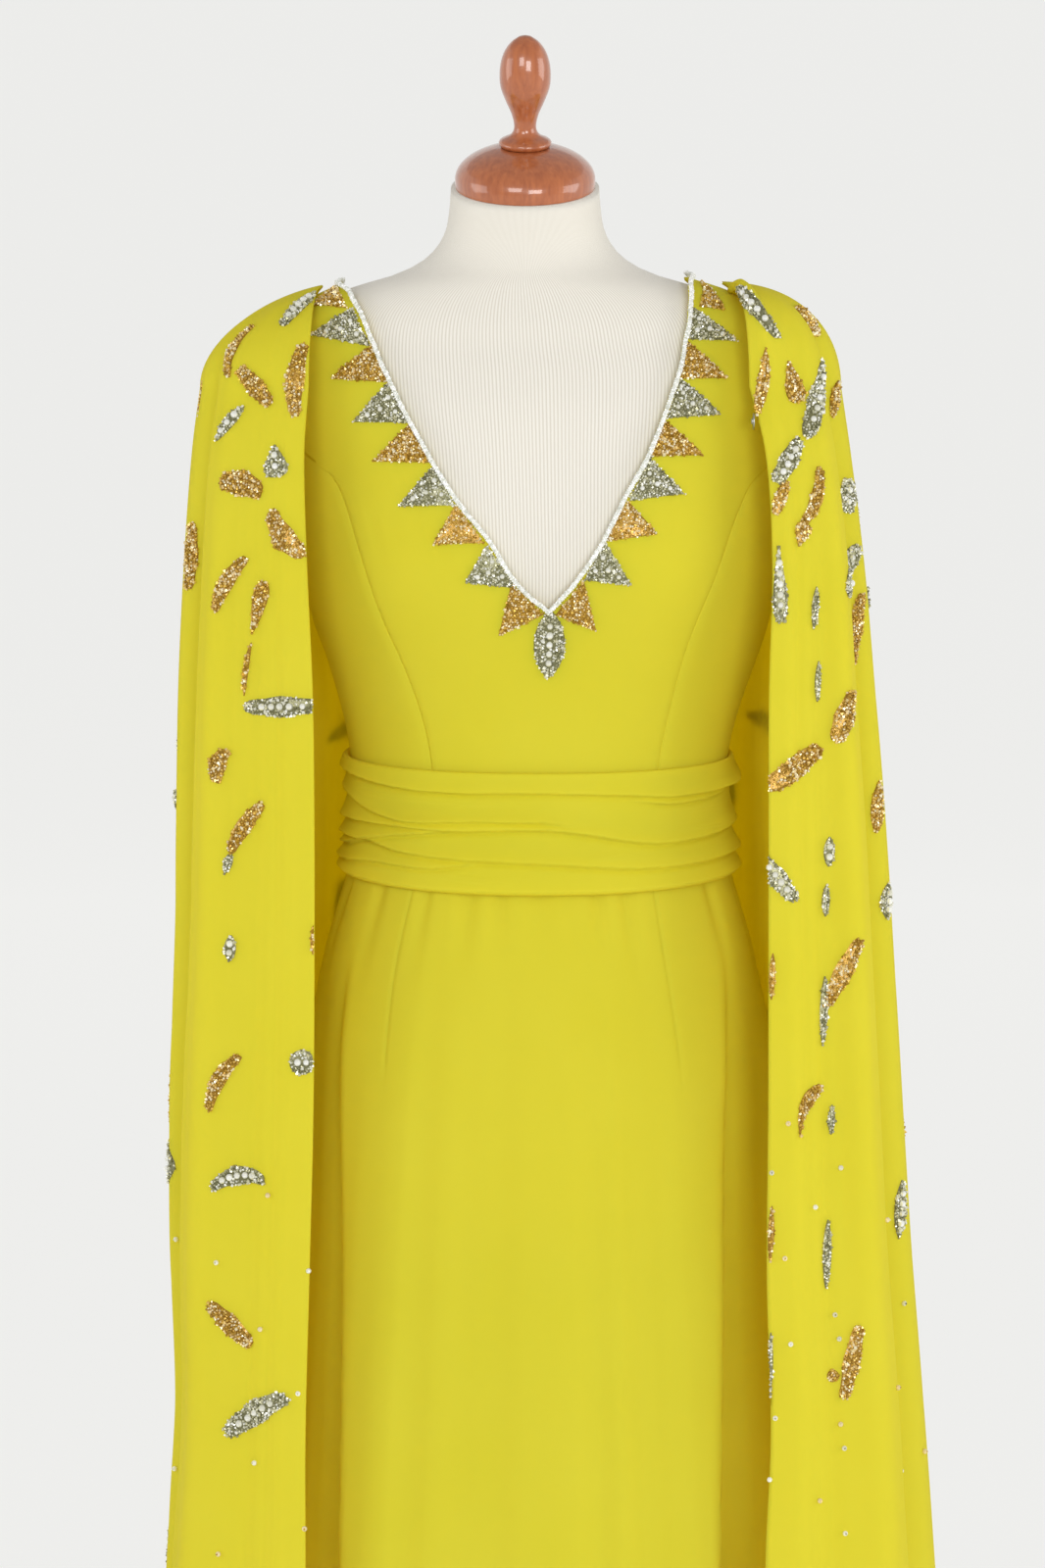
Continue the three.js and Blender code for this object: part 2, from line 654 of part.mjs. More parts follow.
function back(side) {
  const neckZ = (side < 0 ? NECKLINE_LEFT : NECKLINE_RIGHT).at(-1).z;
  const centre = Array.from({ length: BACK_CENTRE_STEPS }, (_, k) => ({
    angle: 180,
    z: mix(WAIST_Z, BACK_NECK_Z, k / BACK_CENTRE_STEPS),
  }));
  const steps = PRINCESS_STEPS + ARMHOLE_STEPS - BACK_CENTRE_STEPS;
  const neckline = Array.from({ length: steps + 1 }, (_, k) => ({
    angle: mix(180, 90, k / steps),
    z: mix(BACK_NECK_Z, neckZ, ease(k / steps)),
  }));
  const inner = [...centre, ...neckline].map(backPlace(side));
  const armhole = spread(BACK_ARMHOLE.map(backPlace(side)), ARMHOLE_STEPS);
  const outer = [...sideSeamLine(side), ...armhole.slice(1)];
  const grid = drawBack(panelGrid(inner, outer, PANEL_COLUMNS), ["last", "bottom", "top"]);
  for (const row of grid.slice(0, BACK_CENTRE_STEPS + 1)) {
    row[0].outer.x += (side * SEAM_GAP) / 2;
    row[0].inner.x += (side * SEAM_GAP) / 2;
  }
  return new Sheet().addGrid(grid).geometry();
}

// ---- Neckline cord ----
// The whole neckline as places, from the front point up the left, round the back and down.
function necklineLoop() {
  const left = lineOnForm(NECKLINE_LEFT, CORD.steps / 4);
  const right = lineOnForm(NECKLINE_RIGHT, CORD.steps / 4);
  const behind = (side, z) =>
    Array.from({ length: CORD.steps / 4 }, (_, k) => ({
      angle: side * mix(90, 180, (k + 1) / (CORD.steps / 4)) * DEG,
      z: mix(z, BACK_NECK_Z, 1 - ease(1 - (k + 1) / (CORD.steps / 4))),
    }));
  const back = [
    ...behind(-1, left.at(-1).z),
    ...behind(1, right.at(-1).z).slice(0, -1).reverse(),
  ];
  return [...left, ...back, ...right.slice(1).reverse()];
}

function necklineCord() {
  const off = FORM_CLEARANCE + CLOTH + SEAM_GAP + CORD.radius + 0.5;
  const loop = necklineLoop().map(({ angle, z }) => {
    const normal = normalOf(torsoPoint, angle, z);
    return { centre: torsoPoint(angle, z).addScaledVector(normal, off), normal };
  });
  const points = [];
  const triangles = [];
  loop.forEach(({ centre, normal }, j) => {
    const next = loop[(j + 1) % loop.length].centre;
    const before = loop[(j + loop.length - 1) % loop.length].centre;
    const along = next.clone().sub(before).normalize();
    const across = along.clone().cross(normal).normalize();
    const lift = across.clone().cross(along);
    for (let i = 0; i < CORD.sides; i++) {
      const a = (i / CORD.sides) * 360 * DEG;
      points.push(
        centre.clone()
          .addScaledVector(lift, CORD.radius * Math.cos(a))
          .addScaledVector(across, CORD.radius * Math.sin(a)),
      );
      const here = (k) => j * CORD.sides + (k % CORD.sides);
      const ahead = (k) => ((j + 1) % loop.length) * CORD.sides + (k % CORD.sides);
      triangles.push([here(i), here(i + 1), ahead(i + 1)], [here(i), ahead(i + 1), ahead(i)]);
    }
  });
  return closedGeometry(points, triangles);
}

// ---- Cummerbund ----
// How far the outside stands over the inside at a share of the height: each pleat is proud at
// its lower lip and thins upwards, where the next one laps over it.
function cummerbund() {
  const wander = (pleat, angle) => {
    const sway = CUMMERBUND.wander * Math.cos(angle - pleat.peak * DEG);
    return pleat.start === 0 ? 0 : pleat.start + sway;
  };
  const grid = [];
  const addRow = (share, proud) => {
    grid.push(
      Array.from({ length: CUMMERBUND.columns + 1 }, (_, i) => {
        const angle = mix(-180, 180, i / CUMMERBUND.columns) * DEG;
        const dip = (1 + Math.cos(angle)) / 2;
        const top = mix(CUMMERBUND.backTop, CUMMERBUND.frontTop, dip);
        const bottom = mix(CUMMERBUND.backBottom, CUMMERBUND.frontBottom, dip);
        const z = mix(bottom, top, share(angle));
        const inside = CUMMERBUND.inside + Math.max(0, WAIST_Z - z) * 0.06;
        const normal = normalOf(torsoPoint, angle, z);
        return wallPlace(torsoPoint(angle, z), normal, inside, proud);
      }),
    );
  };
  PLEATS.forEach((pleat, k) => {
    addRow((angle) => wander(pleat, angle) + (k === 0 ? 0 : CUMMERBUND.lip), pleat.proud);
    const next = PLEATS[k + 1];
    addRow((angle) => (next ? wander(next, angle) : 1), CLOTH * 0.75);
  });
  return new Sheet().addGrid(drawBack(grid, ["first", "last"])).geometry();
}

// ---- Skirt ----
const SKIRT_ROWS = [1090, 1065, 1030, 985, 935, 880, 800, 700, 580, 450, 310, 165, SKIRT_HEM_Z];

function skirtPanel(fromAngle, toAngle, columns) {
  const grid = SKIRT_ROWS.map((z) =>
    Array.from({ length: columns + 1 }, (_, i) => {
      const angle = mix(fromAngle, toAngle, i / columns) * DEG;
      return wallPlace(skirtPoint(angle, z), normalOf(skirtPoint, angle, z), 0, CLOTH);
    }),
  );
  return new Sheet().addGrid(drawBack(grid, ["first", "last", "bottom"])).geometry();
}

// ---- Cape ----
function capeGrid(cape) {
  const surface = capePoint(cape);
  const shoulder = Array.from({ length: CAPE_SHOULDER_ROWS }, (_, k) => k / CAPE_SHOULDER_ROWS);
  const hanging = Array.from({ length: CAPE_HANG_ROWS + 1 }, (_, k) => 1 + (k / CAPE_HANG_ROWS) ** 1.25);
  return [...shoulder, ...hanging].map((v) =>
    Array.from({ length: CAPE_COLUMNS + 1 }, (_, i) => {
      const u = i / CAPE_COLUMNS;
      const normal = normalOf(surface, u, v, -cape.side);
      return wallPlace(surface(u, v), normal, 0, CLOTH);
    }),
  );
}

function capeHalf(cape) {
  const grid = capeGrid(cape);
  for (const row of grid) {
    const seam = row[CAPE_COLUMNS];
    for (const point of [seam.outer, seam.inner]) {
      point.x = seam.base.x + (cape.side * SEAM_GAP) / 2;
    }
  }
  return new Sheet().addGrid(grid).geometry();
}

// Half of a press stud on the +X front edge, its face towards the middle.
function capeSnap() {
  const v = 1 + (CAPE_HANG_Z - SNAP.z) / (CAPE_HANG_Z - CAPE_HEM_Z);
  const surface = capePoint(CAPES.right);
  const edge = surface(0, v);
  edge.x = surface(0, v - SNAP.radius / (CAPE_HANG_Z - CAPE_HEM_Z)).x;
  const geometry = new THREE.CylinderGeometry(SNAP.radius, SNAP.radius, SNAP.thickness, 16);
  geometry.rotateZ(90 * DEG);
  geometry.translate(edge.x - SNAP.thickness / 2 - 5 * SEAM_GAP, edge.y - CLOTH / 2, edge.z);
  return geometry;
}

// ---- Form and stand ----
const FORM_COLUMNS = 32;
const FORM_STEP = 32;

function formTorso() {
  const heights = [];
  for (let z = TORSO[0].z; z < 1440; z += FORM_STEP) heights.push(z);
  heights.push(...TORSO.filter((row) => row.z > 1435).map((row) => row.z));
  return loft(
    heights.map((z) =>
      Array.from({ length: FORM_COLUMNS }, (_, i) =>
        torsoPoint((i / FORM_COLUMNS) * 360 * DEG, z),
      ),
    ),
  );
}

// A body turned from rows of radius and height, closed on its axis at both ends.
function turned(rows) {
  const profile = [
    new THREE.Vector2(0, rows[0].h),
    ...rows.map(({ r, h }) => new THREE.Vector2(r, h)),
    new THREE.Vector2(0, rows.at(-1).top ?? rows.at(-1).h),
  ];
  return new THREE.LatheGeometry(profile, 22).rotateX(90 * DEG);
}

function neckCap() {
  const steps = 7;
  const dome = Array.from({ length: steps + 1 }, (_, k) => {
    const edge = Math.acos(CAP.seatRadius / CAP.radius);
    const a = (edge * k) / steps;
    const rise = (CAP.seat - CAP.band) / Math.sin(edge);
    return { r: CAP.radius * Math.cos(a), h: CAP.band + rise * Math.sin(a) };
  });
  return turned([{ r: CAP.radius - 1.5, h: 0 }, { r: CAP.radius, h: 1.5 }, ...dome]);
}

function finial() {
  const rows = FINIAL_PROFILE.map((row) => ({ ...row }));
  rows.at(-1).top = FINIAL_TOP;
  return turned(rows);
}

function standBase() {
  return turned([
    { r: BASE.radius - 2, h: 0 },
    { r: BASE.radius, h: 2 },
    { r: BASE.radius, h: BASE.edge },
    { r: BASE.radius - 10, h: BASE.shoulder },
    { r: BASE.boss + 12, h: BASE.shoulder + 4 },
    { r: BASE.boss, h: BASE.height - 4 },
    { r: BASE.boss - 4, h: BASE.height },
  ]);
}

// ---- Materials ----
const finish = (color, roughness, metalness = 0) =>
  new THREE.MeshStandardMaterial({ color, roughness, metalness });
const crepe = finish("#ddd42a", 0.8);
const beads = finish("#e4e6dc", 0.3);
const jersey = finish("#efece2", 0.9);
const wood = finish("#9a5232", 0.3);
const nickel = finish("#b9bbb8", 0.35, 1);

// ---- Assembly ----
const dress = new THREE.Group();

function place(group, name, geometry, material) {
  const mesh = new THREE.Mesh(geometry, material);
  mesh.name = name;
  group.add(mesh);
  return mesh;
}

place(dress, "bodice_front_centre", frontCentre(), crepe);
for (const [name, side] of [["left", -1], ["right", 1]]) {
  place(dress, "bodice_side_front_" + name, sideFront(side), crepe);
  place(dress, "bodice_back_" + name, back(side), crepe);
  place(dress, "cape_" + name, capeHalf(CAPES[name]), crepe);
}
place(dress, "neckline_cord", necklineCord(), beads);
place(dress, "cape_snap", capeSnap(), nickel);
place(dress, "cummerbund", cummerbund(), crepe);
place(dress, "skirt_front", skirtPanel(-90, 90, 30), crepe);
place(dress, "skirt_back_left", skirtPanel(-180, -90, 16), crepe);
place(dress, "skirt_back_right", skirtPanel(90, 180, 16), crepe);

const stand = new THREE.Group();
place(stand, "form_torso", formTorso(), jersey);
const neckTop = new THREE.Group();
const neckRow = TORSO.at(-1);
neckTop.position.set(neckRow.cx, neckRow.cy, neckRow.z + SEAM_GAP);
neckTop.rotation.x = NECK_TILT;
place(neckTop, "neck_cap", neckCap(), wood);
place(neckTop, "finial", finial(), wood);
stand.add(neckTop);
const pole = new THREE.CylinderGeometry(
  POLE_RADIUS,
  POLE_RADIUS,
  TORSO[0].z - BASE.height - 2 * SEAM_GAP,
  24,
).rotateX(90 * DEG);
place(stand, "stand_pole", pole, wood).position.z = (TORSO[0].z + BASE.height) / 2;
place(stand, "stand_base", standBase(), wood);

const part = new THREE.Group();
part.add(dress, stand);
export default part;
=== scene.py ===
"""Evening dress with a long open cape on a limbless dress form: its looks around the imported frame.

Metres, +Z up, and the dress faces -Y. Every cloth piece is a wall worked out on a grid from a base
surface of two parameters, as its solid is, and its two faces are that surface moved along its
normals. What is sewn onto a piece is placed on the grid of the face that it lies on.
"""

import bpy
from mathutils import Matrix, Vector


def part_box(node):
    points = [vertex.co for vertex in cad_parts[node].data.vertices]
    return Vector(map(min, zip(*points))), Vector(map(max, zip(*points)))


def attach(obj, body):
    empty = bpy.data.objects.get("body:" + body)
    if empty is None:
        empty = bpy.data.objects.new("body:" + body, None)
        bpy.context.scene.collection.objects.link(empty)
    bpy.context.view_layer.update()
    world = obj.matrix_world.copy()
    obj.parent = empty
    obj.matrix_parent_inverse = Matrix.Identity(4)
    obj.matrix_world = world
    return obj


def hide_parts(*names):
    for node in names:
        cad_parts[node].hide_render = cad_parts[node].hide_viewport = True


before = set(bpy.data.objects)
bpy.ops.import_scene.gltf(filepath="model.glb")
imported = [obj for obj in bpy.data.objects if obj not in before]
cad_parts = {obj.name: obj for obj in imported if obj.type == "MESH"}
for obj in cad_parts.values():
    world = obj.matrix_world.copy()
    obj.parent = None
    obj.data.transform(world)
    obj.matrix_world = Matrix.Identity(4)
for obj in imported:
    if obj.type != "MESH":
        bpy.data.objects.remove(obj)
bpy.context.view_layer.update()        # bodies, nodes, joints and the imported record

import logging
from dataclasses import dataclass, field
from enum import Enum
from math import atan, atan2, pi, radians

import bpy
import numpy as np
from bpy.types import Material, Node, NodeSocket, NodeTree, Object
from mathutils import Vector

Array = np.ndarray
LOG = logging.getLogger("evening_dress")
BODY = "root"

# ---- Driving dimensions, as in the solids ----
CLOTH = 0.002
SEAM_GAP = 0.0003
FORM_CLEARANCE = 0.003
SECTION_POWER = 2.2  # 2 is an ellipse, more is squarer
WAIST_Z = 1.09
SKIRT_HEM_Z = 0.028
CAPE_HEM_Z = 0.042
CAPE_HANG_Z = 1.43
UNDERARM_Z = 1.335
BACK_NECK_Z = 1.478
SIDE_SEAM_ANGLE = radians(93)
CORD_RADIUS = 0.0017
THREAD = 0.0002  # between a piece's face and what is sewn onto it


# ---- Small sums ----
def mix(a: Array, b: Array, t: Array) -> Array:
    """A share t of the way from a to b."""
    return a + (b - a) * t


def ease(t: Array) -> Array:
    """A share that starts and ends level: 3t squared less 2t cubed."""
    t = np.clip(t, 0, 1)
    return t * t * (3 - 2 * t)


def signed_power(value: Array, exponent: float) -> Array:
    """The size of a value raised to an exponent, with the value's sign."""
    return np.sign(value) * np.abs(value) ** exponent


def lobe(t: Array) -> Array:
    """A soft hump over -1 to 1: the squared cosine of a quarter turn times t."""
    return np.cos(np.clip(t, -1, 1) * pi / 2) ** 2


def points_of(x: Array, y: Array, z: Array) -> Array:
    """Points from their three coordinates, whatever shapes these have."""
    return np.stack(np.broadcast_arrays(x, y, z), axis=-1).astype(float)


def unit(vectors: Array) -> Array:
    """Vectors brought to length 1."""
    return vectors / np.maximum(np.linalg.norm(vectors, axis=-1, keepdims=True), 1e-12)


class Rows:
    """Rows of named columns, read between the rows on a smooth curve.

    Between two rows the curve is a cubic, and its slope at a row is the slope from the row before
    to the row after.
    """

    def __init__(self, names: str, *rows: tuple[float, ...]) -> None:
        """Keeps the column names, parted by spaces, and the rows."""
        self.names = names.split()
        self.values = np.array(rows, float)

    def column(self, name: str) -> Array:
        """One column."""
        return self.values[:, self.names.index(name)]

    def at(self, name: str, key: str, where: Array) -> Array:
        """Reads a column where another column has given values.

        Args:
            name: The column to read.
            key: The column that rises from row to row.
            where: Places along the key column; past its ends the end rows hold.

        Returns:
            The column's values there, in the shape of where.
        """
        keys, values = self.column(key), self.column(name)
        last = len(keys) - 1
        rows = np.arange(last + 1)
        before, after = np.maximum(rows - 1, 0), np.minimum(rows + 1, last)
        slope = (values[after] - values[before]) / (keys[after] - keys[before])
        low = np.clip(np.searchsorted(keys, where, side="right") - 1, 0, last - 1)
        span = keys[low + 1] - keys[low]
        t = np.clip((where - keys[low]) / span, 0, 1)
        bend = span * (t * (1 - t) ** 2 * slope[low] - t * t * (1 - t) * slope[low + 1])
        return mix(values[low], values[low + 1], ease(t)) + bend


# ---- Tables, as in the solids ----
# The form's sections: centre, half width, depth to the front and back of the widest point, and how
# steeply the section slopes towards the front.
TORSO = Rows(
    "z cx cy w front back lean",
    (0.79, 0.005, 0, 0.168, 0.102, 0.112, 0), (0.82, 0.005, 0, 0.175, 0.108, 0.118, 0),
    (0.87, 0.005, 0, 0.177, 0.11, 0.122, 0), (0.92, 0.005, 0, 0.174, 0.11, 0.121, 0),
    (0.97, 0.005, 0, 0.166, 0.107, 0.114, 0), (1.02, 0.005, 0, 0.153, 0.102, 0.102, 0),
    (1.06, 0.005, 0, 0.143, 0.098, 0.092, 0), (1.1, 0.005, 0, 0.14, 0.096, 0.086, 0),
    (1.15, 0.005, 0, 0.143, 0.098, 0.086, 0), (1.19, 0.005, 0, 0.149, 0.102, 0.089, 0),
    (1.225, 0.005, 0, 0.157, 0.107, 0.092, 0), (1.255, 0.004, 0, 0.166, 0.111, 0.096, 0),
    (1.29, 0.004, 0, 0.174, 0.114, 0.1, 0), (1.335, 0.003, 0, 0.179, 0.114, 0.103, 0),
    (1.38, 0.002, 0.002, 0.184, 0.111, 0.103, 0), (1.415, 0.001, 0.004, 0.191, 0.107, 0.101, 0),
    (1.442, 0, 0.006, 0.194, 0.1, 0.097, 0), (1.462, -0.002, 0.007, 0.191, 0.093, 0.092, 0),
    (1.478, -0.003, 0.006, 0.185, 0.087, 0.088, 0),
    (1.491, -0.004, 0.005, 0.171, 0.081, 0.083, 0),
    (1.501, -0.005, 0.004, 0.151, 0.076, 0.079, 0),
    (1.509, -0.006, 0.003, 0.126, 0.072, 0.075, 0),
    (1.516, -0.006, 0.002, 0.102, 0.068, 0.071, 0.02),
    (1.524, -0.006, 0, 0.084, 0.064, 0.067, 0.05),
    (1.534, -0.006, -0.003, 0.071, 0.06, 0.062, 0.1),
    (1.548, -0.006, -0.007, 0.062, 0.056, 0.058, 0.17),
    (1.564, -0.006, -0.012, 0.0585, 0.0545, 0.056, 0.25),
    (1.582, -0.006, -0.016, 0.057, 0.054, 0.054, 0.325),
)
# Inside of the skirt, and its soft folds: where round the body in degrees, how wide, the height
# where each starts and its depth at the hem; a negative depth is a trough.
SKIRT = Rows(
    "z cx cy w front back",
    (0.028, 0.005, 0, 0.286, 0.238, 0.254), (0.2, 0.005, 0, 0.264, 0.217, 0.23),
    (0.35, 0.005, 0, 0.246, 0.197, 0.208), (0.5, 0.005, 0, 0.229, 0.176, 0.186),
    (0.6, 0.005, 0, 0.219, 0.163, 0.172), (0.7, 0.005, 0, 0.209, 0.15, 0.158),
    (0.79, 0.005, 0, 0.2, 0.138, 0.147), (0.87, 0.005, 0, 0.192, 0.127, 0.138),
    (0.92, 0.005, 0, 0.185, 0.12, 0.13), (0.97, 0.005, 0, 0.173, 0.112, 0.119),
    (1.02, 0.005, 0, 0.158, 0.106, 0.106), (1.06, 0.005, 0, 0.1466, 0.1016, 0.0956),
    (1.09, 0.005, 0, 0.1436, 0.0995, 0.0904),
)
SKIRT_FOLDS = Rows(
    "angle width start depth",
    (-50, 10, 0.93, -0.015), (-30, 12, 1.01, 0.007), (-13, 9, 0.96, -0.006), (3, 12, 1.02, 0.007),
    (20, 10, 0.98, -0.006), (38, 8, 0.9, 0.006), (50, 10, 0.9, -0.019), (74, 11, 0.96, -0.009),
    (106, 12, 0.96, -0.01), (130, 11, 0.9, -0.017), (156, 12, 0.98, -0.013),
    (-156, 12, 0.94, -0.015), (-131, 11, 0.98, -0.012), (-104, 12, 0.9, -0.014),
    (-75, 11, 0.98, -0.009),
)
# Cut lines of the bodice seen from the front, from the lower end up, by side: -1 to -X, 1 to +X;
# and the back armhole.
NECKLINE = {
    -1: Rows(
        "x z",
        (0.012, 1.263), (-0.016, 1.287), (-0.035, 1.315), (-0.058, 1.343), (-0.075, 1.37),
        (-0.096, 1.408), (-0.112, 1.439), (-0.127, 1.474), (-0.135, 1.488), (-0.143, 1.498),
        (-0.15, 1.505),
    ),
    1: Rows(
        "x z",
        (0.012, 1.263), (0.035, 1.287), (0.054, 1.314), (0.071, 1.348), (0.086, 1.375),
        (0.104, 1.42), (0.113, 1.446), (0.119, 1.476), (0.121, 1.492), (0.122, 1.503),
        (0.125, 1.51),
    ),
}
PRINCESS = {
    -1: Rows(
        "x z",
        (-0.076, 1.09), (-0.078, 1.143), (-0.085, 1.18), (-0.106, 1.236), (-0.134, 1.313),
        (-0.148, 1.354), (-0.161, 1.37), (-0.179, 1.384),
    ),
    1: Rows(
        "x z",
        (0.095, 1.09), (0.097, 1.143), (0.105, 1.185), (0.122, 1.246), (0.147, 1.31), (0.158, 1.34),
        (0.167, 1.358), (0.181, 1.374),
    ),
}
ARMHOLE = {
    -1: Rows("x z", (-0.179, 1.384), (-0.177, 1.415), (-0.18, 1.446), (-0.194, 1.474)),
    1: Rows("x z", (0.181, 1.374), (0.179, 1.41), (0.181, 1.446), (0.19, 1.474)),
}
BACK_ARMHOLE = Rows("angle z", (93, 1.335), (106, 1.385), (104, 1.44), (90, 1.474))
# The cape's halves: front edge, outermost point and centre back of the hanging cloth at each
# height, where its top edge lies on the shoulder, and its folds.
LEFT_ROWS = Rows(
    "z frontX frontY sideX sideY backY",
    (0.042, -0.176, -0.232, -0.33, 0.012, 0.302), (0.2, -0.175, -0.206, -0.314, 0.013, 0.276),
    (0.37, -0.174, -0.182, -0.302, 0.014, 0.25), (0.54, -0.173, -0.164, -0.291, 0.015, 0.228),
    (0.64, -0.173, -0.154, -0.285, 0.016, 0.214), (0.76, -0.17, -0.142, -0.288, 0.016, 0.196),
    (0.88, -0.167, -0.131, -0.287, 0.016, 0.178), (1, -0.166, -0.121, -0.282, 0.016, 0.16),
    (1.1, -0.166, -0.113, -0.28, 0.015, 0.144), (1.2, -0.167, -0.108, -0.277, 0.014, 0.134),
    (1.3, -0.171, -0.104, -0.271, 0.012, 0.129), (1.38, -0.173, -0.096, -0.264, 0.01, 0.122),
    (1.43, -0.17, -0.084, -0.257, 0.008, 0.113),
)
LEFT_NECK = Rows(
    "u angle z",
    (0, 70, 1.493), (0.2, 83, 1.498), (0.42, 97, 1.498), (0.7, 130, 1.481), (1, 180, 1.464),
)
LEFT_FOLDS = Rows(
    "top hem width full depth",
    (0.26, 0.35, 0.055, 1.15, -0.017), (0.1, 0.12, 0.07, 0.9, -0.006),
    (0.18, 0.25, 0.05, 1.2, 0.004), (0.49, 0.5, 0.06, 1.15, -0.018),
    (0.62, 0.62, 0.055, 1, -0.02), (0.73, 0.74, 0.055, 1.15, -0.016),
    (0.85, 0.87, 0.06, 1, -0.019),
)
RIGHT_ROWS = Rows(
    "z frontX frontY sideX sideY backY",
    (0.042, 0.178, -0.232, 0.354, 0.012, 0.302), (0.2, 0.178, -0.206, 0.341, 0.013, 0.276),
    (0.37, 0.177, -0.182, 0.329, 0.014, 0.25), (0.54, 0.176, -0.164, 0.317, 0.015, 0.228),
    (0.64, 0.18, -0.154, 0.309, 0.016, 0.214), (0.76, 0.177, -0.142, 0.299, 0.016, 0.196),
    (0.88, 0.178, -0.131, 0.291, 0.016, 0.178), (1, 0.178, -0.121, 0.283, 0.016, 0.16),
    (1.1, 0.178, -0.113, 0.276, 0.015, 0.144), (1.2, 0.178, -0.108, 0.267, 0.014, 0.134),
    (1.3, 0.18, -0.104, 0.257, 0.012, 0.129), (1.38, 0.175, -0.096, 0.246, 0.01, 0.122),
    (1.43, 0.163, -0.086, 0.238, 0.008, 0.113),
)
RIGHT_NECK = Rows(
    "u angle z",
    (0, 74, 1.496), (0.2, 85, 1.501), (0.42, 97, 1.5), (0.7, 130, 1.482), (1, 180, 1.464),
)
RIGHT_FOLDS = Rows(
    "top hem width full depth",
    (0.25, 0.28, 0.06, 1.15, -0.016), (0.11, 0.1, 0.06, 0.9, -0.006),
    (0.17, 0.2, 0.05, 1.2, 0.004), (0.48, 0.5, 0.06, 1, -0.019), (0.6, 0.62, 0.055, 1.15, -0.017),
    (0.72, 0.74, 0.06, 1, -0.02), (0.85, 0.86, 0.06, 1.15, -0.016),
)
FINIAL = Rows(
    "r h",
    (0.0185, 0.0323), (0.02, 0.0345), (0.02, 0.0365), (0.0175, 0.0386), (0.012, 0.041),
    (0.009, 0.045), (0.0086, 0.05), (0.0106, 0.058), (0.015, 0.068), (0.0187, 0.078),
    (0.0196, 0.087), (0.0187, 0.097), (0.0154, 0.1065), (0.01, 0.1135), (0.0045, 0.1172),
)


# ---- Base surfaces ----
@dataclass(frozen=True)
class Bust:
    """The form's bust: two soft humps on its front."""

    apart: float = 0.082
    z: float = 1.302
    rise: float = 0.017
    width: float = 0.058
    above: float = 0.088
    below: float = 0.058


def section_point(rows: Rows, angle: Array, z: Array) -> Array:
    """Points on stacked sections.

    A section is a closed curve whose x and y are powers of the sine and cosine of the angle, with
    one depth to the front and another to the back.

    Args:
        rows: The sections.
        angle: 0 at the front centre, a quarter turn at +X.
        z: Heights.

    Returns:
        The points.
    """
    bend = 2 / SECTION_POWER
    depth = np.where(np.cos(angle) > 0, rows.at("front", "z", z), rows.at("back", "z", z))
    x = rows.at("cx", "z", z) + rows.at("w", "z", z) * signed_power(np.sin(angle), bend)
    y = rows.at("cy", "z", z) - depth * signed_power(np.cos(angle), bend)
    return points_of(x, y, z)


def torso_point(angle: Array, z: Array, bust: Bust = Bust()) -> Array:
    """The form's surface: its sections, the bust's two Gaussian humps and the slanted neck.

    Args:
        angle: 0 at the front centre, a quarter turn at +X.
        z: Heights, before the slant.
        bust: The bust.

    Returns:
        The points.
    """
    point = section_point(TORSO, angle, z)
    tall = np.where(z > bust.z, bust.above, bust.below)
    height = bust.rise * np.exp(-(((z - bust.z) / tall) ** 2))
    middle = TORSO.at("cx", "z", z)
    facing = np.clip(np.cos(angle) * 2, 0, 1)
    for apex in (-bust.apart, bust.apart):
        across = np.exp(-(((point[..., 0] - middle - apex) / bust.width) ** 2))
        point[..., 1] -= height * across * facing
    slope = TORSO.at("lean", "z", z)
    point[..., 2] += slope * (point[..., 1] - TORSO.at("cy", "z", z))
    return point


def torso_normal(angle: Array, z: Array) -> Array:
    """Outward unit normals of the form, from the slopes of its surface.

    Args:
        angle: Where round the body.
        z: Heights.

    Returns:
        The normals.
    """
    turn, lift = 1e-3, 1e-6
    along = torso_point(angle + turn, z) - torso_point(angle - turn, z)
    up = torso_point(angle, z + lift) - torso_point(angle, z - lift)
    return unit(np.cross(along, up))


def grid_normals(grid: Array, side: float = 1.0) -> Array:
    """Unit normals of a grid of points: the cross product of its slopes along columns and rows.

    Args:
        grid: Points, rows by columns.
        side: 1 where columns run towards +X as rows go up, else -1.

    Returns:
        A normal at each point.
    """
    along, up = np.gradient(grid, axis=1), np.gradient(grid, axis=0)
    return side * unit(np.cross(along, up))


